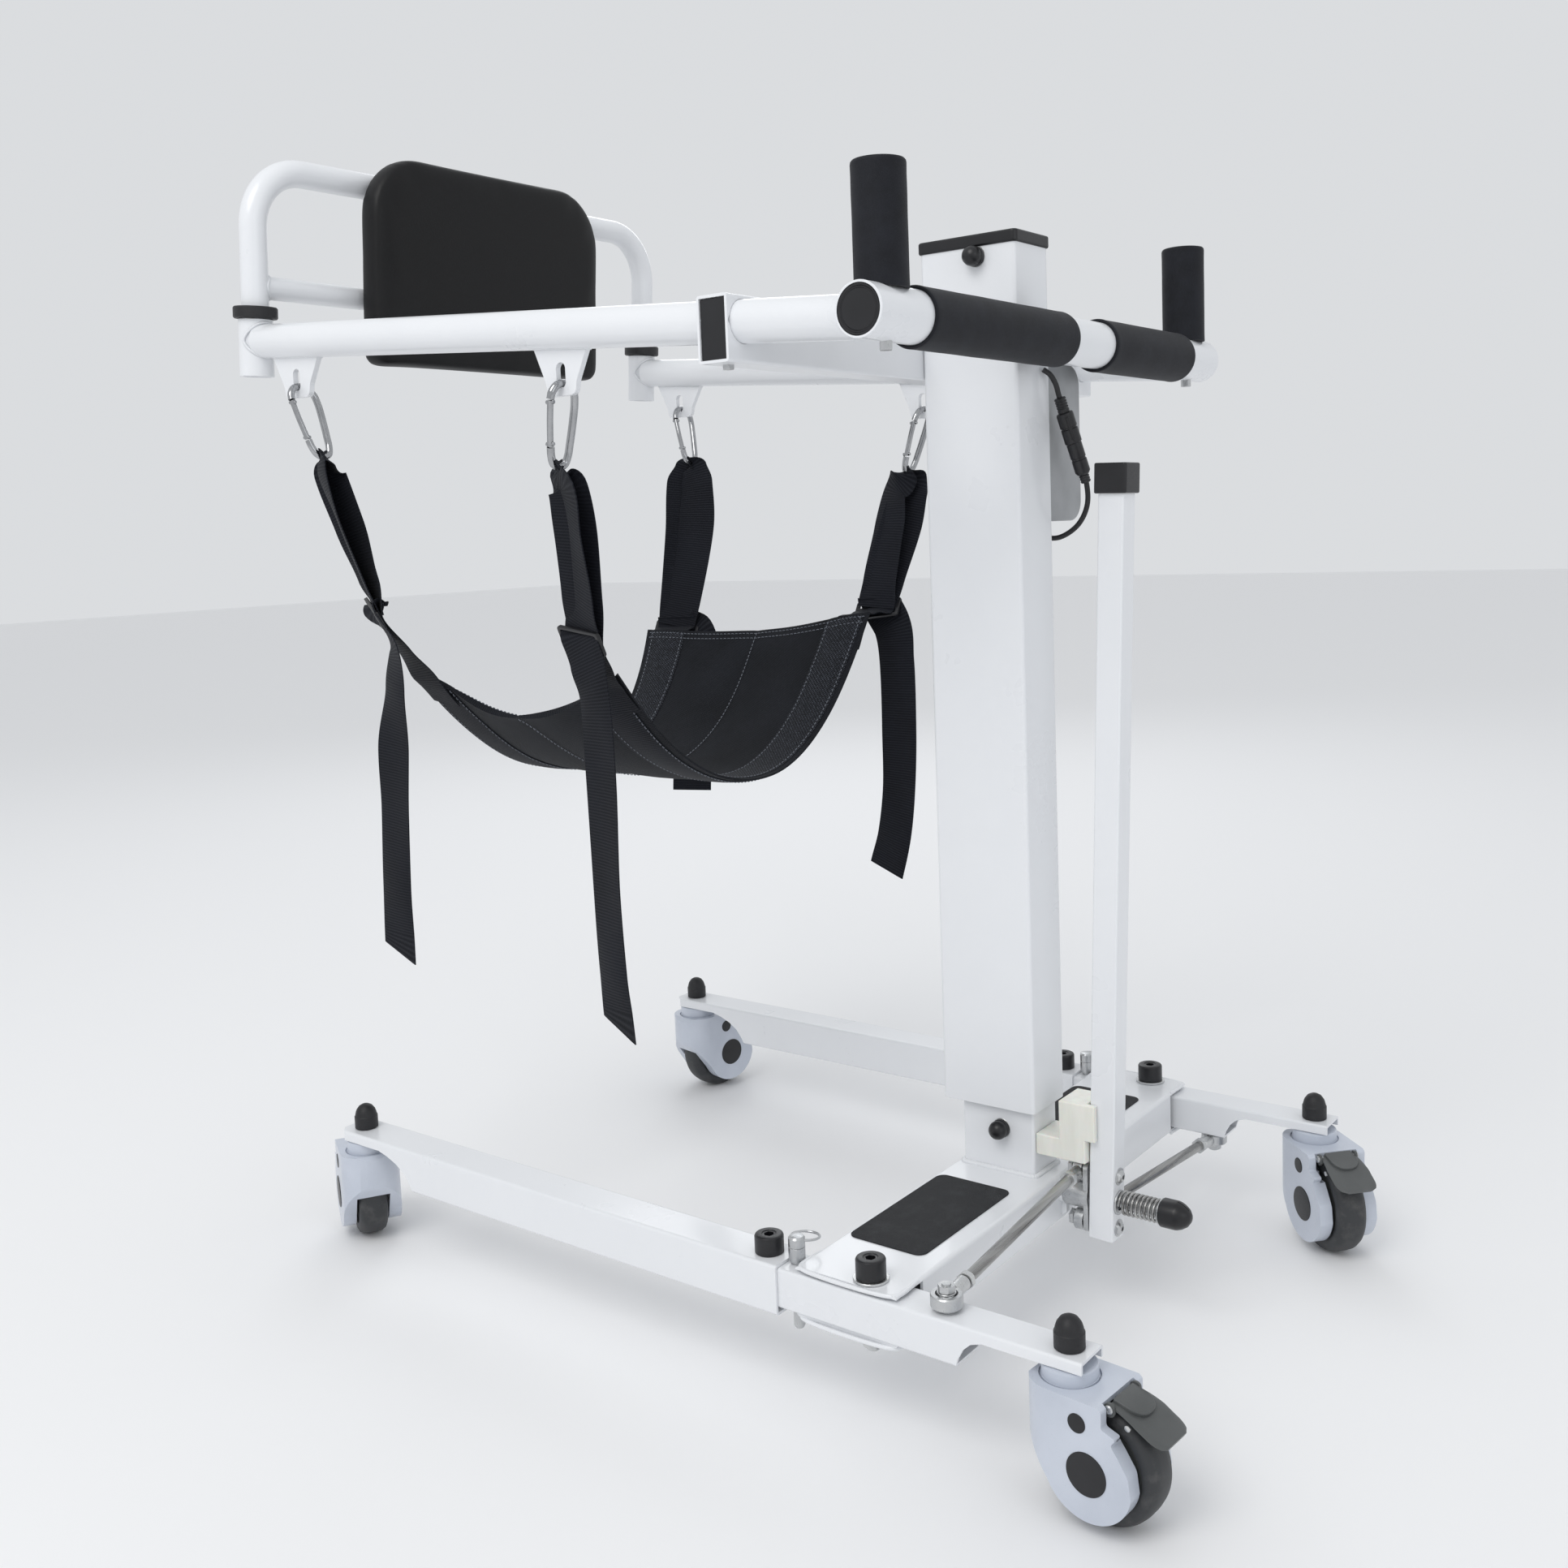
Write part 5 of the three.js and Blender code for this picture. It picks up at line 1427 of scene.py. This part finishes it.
def build_pad():
    """The moulded back pad: crowned, with its big radii at the top."""
    slab = pad_block(174, -18.5, 209, 33, 67, 15)
    slab = swell(slab, 3.0, 2.2)
    place = Matrix((-X, UP_ARM, OUT_BACK)).transposed().to_4x4()
    base = Vector((5, ARM["y0"], ARM["z0"])) + OUT_BACK * (HOOP["r"] + 1.2)
    pad = piece("back_pad", moved(slab, Matrix.Translation(base) @ place), "vinyl", "backrest",
                "backrest_pad", 0,
                smooth=80)
    tabs = []
    for x in (-110, 120):
        for k in (HOOP["top"], HOOP["low"]):
            r = HOOP["r"] if k == HOOP["top"] else 12
            c = Vector((x, ARM["y0"], ARM["z0"])) + UP_ARM * k
            strap = [c + OUT_BACK * ((r + 1.2) * math.cos(t)) + UP_ARM * ((r + 1.2) * math.sin(t))
                     for t in (math.radians(65 + 230 * i / 24) for i in range(25))]
            strap = [c + OUT_BACK * (r + 1.6) + UP_ARM * (r + 12), *strap,
                     c + OUT_BACK * (r + 1.6) - UP_ARM * (r + 12)]
            tabs.append(new(sweep, strap, fillet(rect(-11, 11, -0.9, 0.9), 0.5, 2), X))
    piece("pad_clips", joined(*tabs), "zinc", "backrest")


# ---------------------------------------------------------------- sling
ACROSS, ALONG = 30, 52
WEB, WIDTH, ARC = 50, 300, 521.8
SEWN = (0, 8, 52, 150, 248, 292, WIDTH)


def sag(x):
    """The height of the hanging seat."""
    return SEAT["low"] + SEAT["rise"] * (x / SEAT["at"]) ** 2


def seat_rest():
    """The hanging line by equal steps of cloth, before it drapes."""
    fine = [Vector((-SEAT["x"] + 2 * SEAT["x"] * i / 800, 0, 0)) for i in range(801)]
    for p in fine:
        p.z = sag(p.x)
    lengths = [0.0]
    for a, b in zip(fine, fine[1:]):
        lengths.append(lengths[-1] + (b - a).length)
    rows, at = [], 0
    for j in range(ALONG + 1):
        want = lengths[-1] * j / ALONG
        while at < 799 and lengths[at + 1] < want:
            at += 1
        f = (want - lengths[at]) / (lengths[at + 1] - lengths[at])
        p = fine[at].lerp(fine[at + 1], f)
        rows.append([Vector((p.x, SEAT["y0"] + (SEAT["y1"] - SEAT["y0"]) * i / ACROSS, p.z))
                     for i in range(ACROSS + 1)])
    return rows


def drape(rows):
    """Cloth simulation of the seat, held at its four webbing corners."""
    verts = [tuple(p * MM) for row in rows for p in row]
    width = ACROSS + 1
    faces = [(j * width + i, j * width + i + 1, (j + 1) * width + i + 1, (j + 1) * width + i)
             for j in range(ALONG) for i in range(ACROSS)]
    mesh = bpy.data.meshes.new("drape")
    mesh.from_pydata(verts, [], faces)
    cloth_obj = bpy.data.objects.new("drape", mesh)
    bpy.context.collection.objects.link(cloth_obj)
    held = cloth_obj.vertex_groups.new(name="held")
    ends = [j * width + i for j in (0, 1, ALONG - 1, ALONG) for i in range(width) if i <= 5 or i >= ACROSS
            - 5]
    held.add(ends, 1.0, "REPLACE")
    cloth = cloth_obj.modifiers.new("cloth", "CLOTH")
    c = cloth.settings
    c.vertex_group_mass, c.quality, c.mass = "held", 8, 0.35
    c.tension_stiffness = c.compression_stiffness = 40
    c.shear_stiffness, c.bending_stiffness = 12, 1.2
    c.tension_damping = c.compression_damping = 10
    cloth.collision_settings.use_collision = False
    for step in range(1, 29):
        bpy.context.scene.frame_set(step)
    shown = plain_mesh(cloth_obj)
    now = [v.co / MM for v in shown.vertices]
    bpy.context.scene.frame_set(1)
    drop(cloth_obj)
    bpy.data.meshes.remove(shown)
    out = []
    for j, row in enumerate(rows):
        line = []
        for i, p in enumerate(row):
            shift = now[j * width + i] - p
            line.append(p + shift * min(1, 13 / max(shift.length, 1e-6)))
        out.append(line)
    return out


def crease(rows):
    """Given folds: the far end is drawn out to its straps, and the near end droops between them."""
    out = []
    for j, row in enumerate(rows):
        f = j / ALONG
        end = abs(f - 0.5) * 2
        far, near = max(0.0, 1 - f / 0.45) ** 1.6, max(0.0, (f - 0.62) / 0.38) ** 2.0
        line = []
        for i, p in enumerate(row):
            u = i / ACROSS
            belly = math.sin(math.pi * u)
            fold = noise.noise(Vector((u * 3.1, j * 0.085, 4.2))) * 3.0 * (0.4 + 0.6 * end)
            pull = Vector((7, -42, 8)) * far * (1 - u) ** 1.2 + Vector((-8, -4, 30)) * far * u ** 1.2
            droop = Vector((-15, 0, -38)) * near * belly ** 0.8 + Vector((0, -4, 3)) * near * (1 - u) ** 2
            line.append(p + pull + droop + Vector((0, 0, fold - 4.5 * belly * (0.4 + 0.6 * end ** 6))))
        out.append(line)
    return out


def grid_normals(rows):
    """The way up at each point of the seat."""
    out = []
    for j in range(len(rows)):
        line = []
        for i in range(len(rows[0])):
            a = rows[min(j + 1, ALONG)][i] - rows[max(j - 1, 0)][i]
            b = rows[j][min(i + 1, ACROSS)] - rows[j][max(i - 1, 0)]
            line.append(a.cross(b).normalized())
        out.append(line)
    return out


class Cloth:
    """The seat's middle surface, read anywhere by its cut position in millimetres."""

    def __init__(self, rows):
        self.rows, self.normals = rows, grid_normals(rows)

    def at(self, across, along):
        u = min(max(across / WIDTH * ACROSS, 0), ACROSS - 1e-6)
        v = min(max(along / ARC * ALONG, 0), ALONG - 1e-6)
        i, j = int(u), int(v)
        fu, fv = u - i, v - j

        def mix(g):
            return (g[j][i].lerp(g[j][i + 1], fu)).lerp(g[j + 1][i].lerp(g[j + 1][i + 1], fu), fv)

        return mix(self.rows), mix(self.normals).normalized()


def quilt(across):
    """Half thickness of the padded seat: full between its sewn lines, thin at them and at the hems."""
    for a, b in zip(SEWN, SEWN[1:]):
        if a <= across <= b:
            middle = math.sin(math.pi * (across - a) / (b - a)) ** 0.7
            full = 3.4 if b - a > 60 else 2.6
            return 1.1 + (full - 1.1) * middle * min(1, (b - a) / 40)
    return 1.1


def skin(cloth, across_list, along_list, upper, lower):
    """A closed sheet between two offsets of the seat surface, with a UV map in metres."""
    bm = bmesh.new()
    uv = bm.loops.layers.uv.new("cut")
    sheets = []
    for offset in (upper, lower):
        sheets.append([[bm.verts.new(p + n * offset(a)) for a in across_list
                        for p, n in (cloth.at(a, b),)] for b in along_list])
    top, bottom = sheets
    where = {}
    for grid in sheets:
        for b, row in zip(along_list, grid):
            for a, v in zip(across_list, row):
                where[v] = (a * MM, b * MM)
    nb, na = len(along_list), len(across_list)
    faces = []
    for j in range(nb - 1):
        for i in range(na - 1):
            faces.append((top[j][i], top[j][i + 1], top[j + 1][i + 1], top[j + 1][i]))
            faces.append((bottom[j][i], bottom[j + 1][i], bottom[j + 1][i + 1], bottom[j][i + 1]))
    for j in range(nb - 1):
        faces.append((top[j][0], top[j + 1][0], bottom[j + 1][0], bottom[j][0]))
        faces.append((top[j][-1], bottom[j][-1], bottom[j + 1][-1], top[j + 1][-1]))
    for i in range(na - 1):
        faces.append((top[0][i], bottom[0][i], bottom[0][i + 1], top[0][i + 1]))
        faces.append((top[-1][i], top[-1][i + 1], bottom[-1][i + 1], bottom[-1][i]))
    for f in faces:
        made = bm.faces.new(f)
        for loop in made.loops:
            loop[uv].uv = where[loop.vert]
    return bm


def spaced(low, high, count):
    return [low + (high - low) * i / count for i in range(count + 1)]


def ribbon(stations, tip=0.0):
    """A strap through stations of (point, way across, share of width, cup), with a UV map in metres.
    cup bends its section; tip slants its last end by that many millimetres."""
    points = [Vector(s[0]) for s in stations]
    total = sum((b - a).length for a, b in zip(points, points[1:]))
    count = max(8, int(total / 4.0))
    line = curved(points, count)
    spans = len(stations) - 1
    bm = bmesh.new()
    uv = bm.loops.layers.uv.new("cut")
    rings, where = [], {}
    n = 10
    run = 0.0
    for k, p in enumerate(line):
        run += (p - line[k - 1]).length if k else 0
        u = min(k / count * spans, spans - 1e-6)
        i, f = int(u), u - int(u)
        f = f * f * (3 - 2 * f)
        way = Vector(stations[i][1]).lerp(Vector(stations[i + 1][1]), f)
        share = stations[i][2] + (stations[i + 1][2] - stations[i][2]) * f
        cup = stations[i][3] + (stations[i + 1][3] - stations[i][3]) * f
        t = (line[min(k + 1, count)] - line[max(k - 1, 0)]).normalized()
        way = (way - t * way.dot(t)).normalized()
        face = t.cross(way)
        slant = max(0.0, (k / count - 0.97) / 0.03) * tip
        ring = []
        for layer in (1, -1):
            cells = range(n + 1) if layer > 0 else range(n, -1, -1)
            for c in cells:
                e = c / n * 2 - 1
                thin = 0.9 * (1 - 0.35 * abs(e) ** 8)
                v = bm.verts.new(p + way * (e * WEB / 2 * share) + face * (cup * (1 - e * e) + layer * thin)
                                 + t * (slant * (e + 1) / 2))
                where[v] = (c / n * WEB * MM, run * MM)
                ring.append(v)
        rings.append(ring)
    quads(bm, rings)
    bm.faces.new(rings[0][::-1])
    bm.faces.new(rings[-1])
    for f in bm.faces:
        for loop in f.loops:
            loop[uv].uv = where[loop.vert]
    return bm


def buckle(centre, way, face):
    """A tri-glide: an oblong frame with a middle bar."""
    way = Vector(way).normalized()
    face = (Vector(face) - way * Vector(face).dot(way)).normalized()
    long_way = face.cross(way)
    frame_shape = new(prism, fillet(rect(-30, 30, -13, 13), 4, 5), -2, 2, "xy",
                      [fillet(rect(-25.6, 25.6, 2.2, 9.6), 1.6, 4),
                       fillet(rect(-25.6, 25.6, -9.6, -2.2), 1.6, 4)])
    shape = eased(frame_shape, 0.9, 3)
    return moved(shape, Matrix.Translation(centre) @ Matrix((way, long_way, face)).transposed().to_4x4())


STRAPS = {
    "near_front": {
        "s": 1, "end": "front", "tip": 17, "buckle": (251, -618, 688), "bow": 0.7, "skew": 3,
        "ways": ((0.2, 1, 0), (0.35, 1, 0), (0.45, 0.85, -0.25)),
        "upper": [(286, -643, 832), (276, -631, 780), (262, -622, 724)], "tail_way": (0.08, 1, 0),
        "tail": [(257, -592, 655), (257, -593, 610), (258, -601, 545), (257, -606, 480), (257, -611, 400),
                 (256, -614, 334)],
    },
    "far_front": {
        "s": -1, "end": "front", "tip": 0, "buckle": (-240, -638, 640), "bow": 0.7, "skew": 10,
        "ways": ((-0.45, 1, 0), (-0.6, 0.8, 0), (-0.4, 1, 0)),
        "upper": [(-286, -642, 824), (-275, -637, 768), (-252, -637, 678)], "tail_way": (-0.6, 0.8, 0),
        "tail": [(-249, -612, 630), (-252, -610, 600), (-252, -618, 550), (-252, -628, 503),
                 (-251, -631, 460), (-250, -633, 422)],
    },
    "near_rear": {
        "s": 1, "end": "rear", "tip": 20, "buckle": (250, -322, 664), "bow": 0.35, "skew": 3,
        "ways": ((0.2, 1, 0), (0.25, 1, 0), (0.12, 1, -0.12)),
        "upper": [(287, -297, 803), (278, -300, 769), (262, -311, 702)], "tail_way": (0.28, 1, 0),
        "tail": [(257, -313, 642), (258, -305, 612), (258, -302, 542), (257, -303, 426), (256, -301, 348),
                 (254, -299, 302)],
    },
    "far_rear": {
        "s": -1, "end": "rear", "tip": 3, "buckle": (-254, -332, 663), "bow": 0.6, "skew": -7,
        "ways": ((0.1, 1, 0), (-0.1, 1, 0), (-0.1, 1, 0.1)),
        "upper": [(-287, -312, 800), (-278, -318, 758), (-262, -328, 697)], "tail_way": (0.1, 1, 0),
        "tail": [(-258, -313, 640), (-259, -309, 600), (-258, -308, 516), (-256, -310, 440),
                 (-255, -318, 385), (-255, -330, 345)],
    },
}


LOOP = ((0.42, 0.6, 0, 0), (0.7, 5.2, 0.1, 0.6), (0.94, 8, 0.3, 1), (1, 7, 0.34, 0.8), (1, 4, 0.2, 0.3),
        (1, 1.4, 0, 0))


def folded_end(spec):
    """Where a strap goes round its snap hook."""
    hanger = HANGERS[spec["end"]]
    return Vector((spec["s"] * 288.4, hanger["y"] + hanger["lean"], arm_z(hanger["y"]) - 118.7))


def build_strap(key, spec, cloth):
    """The doubled loop above the buckle, the lap on to the seat and the hanging tail, as one piece.
    A LOOP row is the share of width, the gap between the layers, their splay and their sideways shift."""
    s, top = spec["s"], folded_end(spec)
    first, middle, last = (Vector(w).normalized() for w in spec["ways"])
    clasp = Vector(spec["buckle"])
    points = [top + Z * 5.2, top - Z * 7, *(Vector(p) for p in spec["upper"]), clasp]
    ways = [(X * 0.9 + Y * 0.5), (X * 0.35 * s + Y), first, middle, (middle + last).normalized(), last]
    layers = []
    for sign in (1, -1):
        stations = []
        for p, way, (share, gap, splay, shift) in zip(points, ways, LOOP):
            way = way.normalized()
            face = way.cross(Z).normalized()
            gap *= spec["bow"] if gap > 1.5 else 1
            offset = face * gap + way * spec["skew"] * shift
            stations.append((p + offset * sign, way + face * sign * splay, share, sign * gap * 0.3))
        layers.append(ribbon(stations))
    across_at, along_end = (25 if spec["end"] == "front" else 275), (ARC if s > 0 else 0.0)
    seat_p, seat_n = cloth.at(across_at, along_end)
    inner_p, inner_n = cloth.at(across_at, along_end - s * 40)
    seat_way = (cloth.at(across_at + 12, along_end)[0] - cloth.at(across_at - 12, along_end)[0]).normalized()
    low = seat_p - seat_n * 4.6
    layers.append(ribbon([
        (clasp + Z * 12, last, 1.0, 0), (clasp, last, 1.0, 0),
        (clasp.lerp(low, 0.55) + X * s * 1.5, (last + seat_way).normalized(), 1.0, 0.5),
        (low, seat_way, 1.0, 0), (inner_p - inner_n * 4.8, seat_way, 1.0, 0),
    ]))
    tail_way = Vector(spec["tail_way"]).normalized()
    out = X * s
    tail = [(clasp + Z * 10 + out * 2, last, 1, 0), (clasp + Z * 5 + out * 6, last, 1, 0)]
    for i, p in enumerate(spec["tail"]):
        curl = 2.0 * math.sin(i * 1.9)
        tail.append((Vector(p), (last.lerp(tail_way, min(1, i / 2)) + X * 0.05 * math.sin(i * 2.3)), 1, curl))
    layers.append(ribbon(tail, tip=spec["tip"]))
    web = piece(key + "_webbing", joined_with_uv(layers), "webbing", "sling", (), 0, smooth=50, weld=0.0001)
    web.parent = None
    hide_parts(key + "_strap")
    on_frame(top - Z * 6)
    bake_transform(web)
    run = (low - Vector(spec["upper"][-1])).normalized()
    face = last.cross(run)
    face = face if face.x * s > 0 else -face
    piece(key + "_buckle", buckle(clasp + face * 3.4, last, face), "black_plastic", "sling")


def joined_with_uv(shapes):
    """Several ribbons as one mesh, each with its own UV map, unmerged."""
    out = bmesh.new()
    for bm in shapes:
        bmesh.ops.recalc_face_normals(bm, faces=bm.faces)
        pour(bm, out)
    return out


def build_sling():
    """Quilted seat, its bands and stitches, then the four straps."""
    rows = seat_rest()
    rows = drape(rows)
    cloth = Cloth(crease(rows))
    across = sorted({*spaced(0, WIDTH, 60), *SEWN})
    seat = piece("padded_seat", skin(cloth, across, spaced(0, ARC, 130), quilt, lambda a: -quilt(a)),
                 "fabric", "sling", "sling_seat", 0, smooth=60, weld=0.0001)
    for end, a0, a1 in (("front", 6, 54), ("rear", 246, 294)):
        strip = skin(cloth, spaced(a0, a1, 8), spaced(3, ARC - 3, 130), lambda a: quilt(a) + 0.9,
                     lambda a: quilt(a) - 0.4)
        piece(end + "_seat_band", strip, "band", "sling", (), 0, smooth=60, weld=0.0001)
        under = skin(cloth, spaced(a0 - 1, a1 - 3, 8), spaced(1, ARC - 1, 130), lambda a: -quilt(a) + 0.4,
                     lambda a: -quilt(a) - 1.4)
        piece(end + "_under_web", under, "webbing", "sling", (), 0, smooth=60, weld=0.0001)
    lines = []
    for a in (9, 51, 150, 249, 291):
        path = [cloth.at(a, b) for b in spaced(6, ARC - 6, 120)]
        lines.append([(p + n * (quilt(a) + 1.0), n) for p, n in path])
        lines.append([(p - n * (quilt(a) + 1.5), -n) for p, n in path])
    for b in (5, 12, ARC - 12, ARC - 5):
        lines.append([(p + n * (quilt(a) + 0.7), n) for a in spaced(6, 294, 70) for p,
                      n in (cloth.at(a, b),)])
    along("seat_stitches", lines, stitch(3.4, 0.5), 5.6, "thread", "sling")
    for key, spec in STRAPS.items():
        build_strap(key, spec, cloth)


build_beam()
build_legs()
build_casters()
build_lever()
build_mast()
build_control_box()
build_cable()
build_arms()
build_handle()
build_carabiners()
build_backrest()
build_sling()
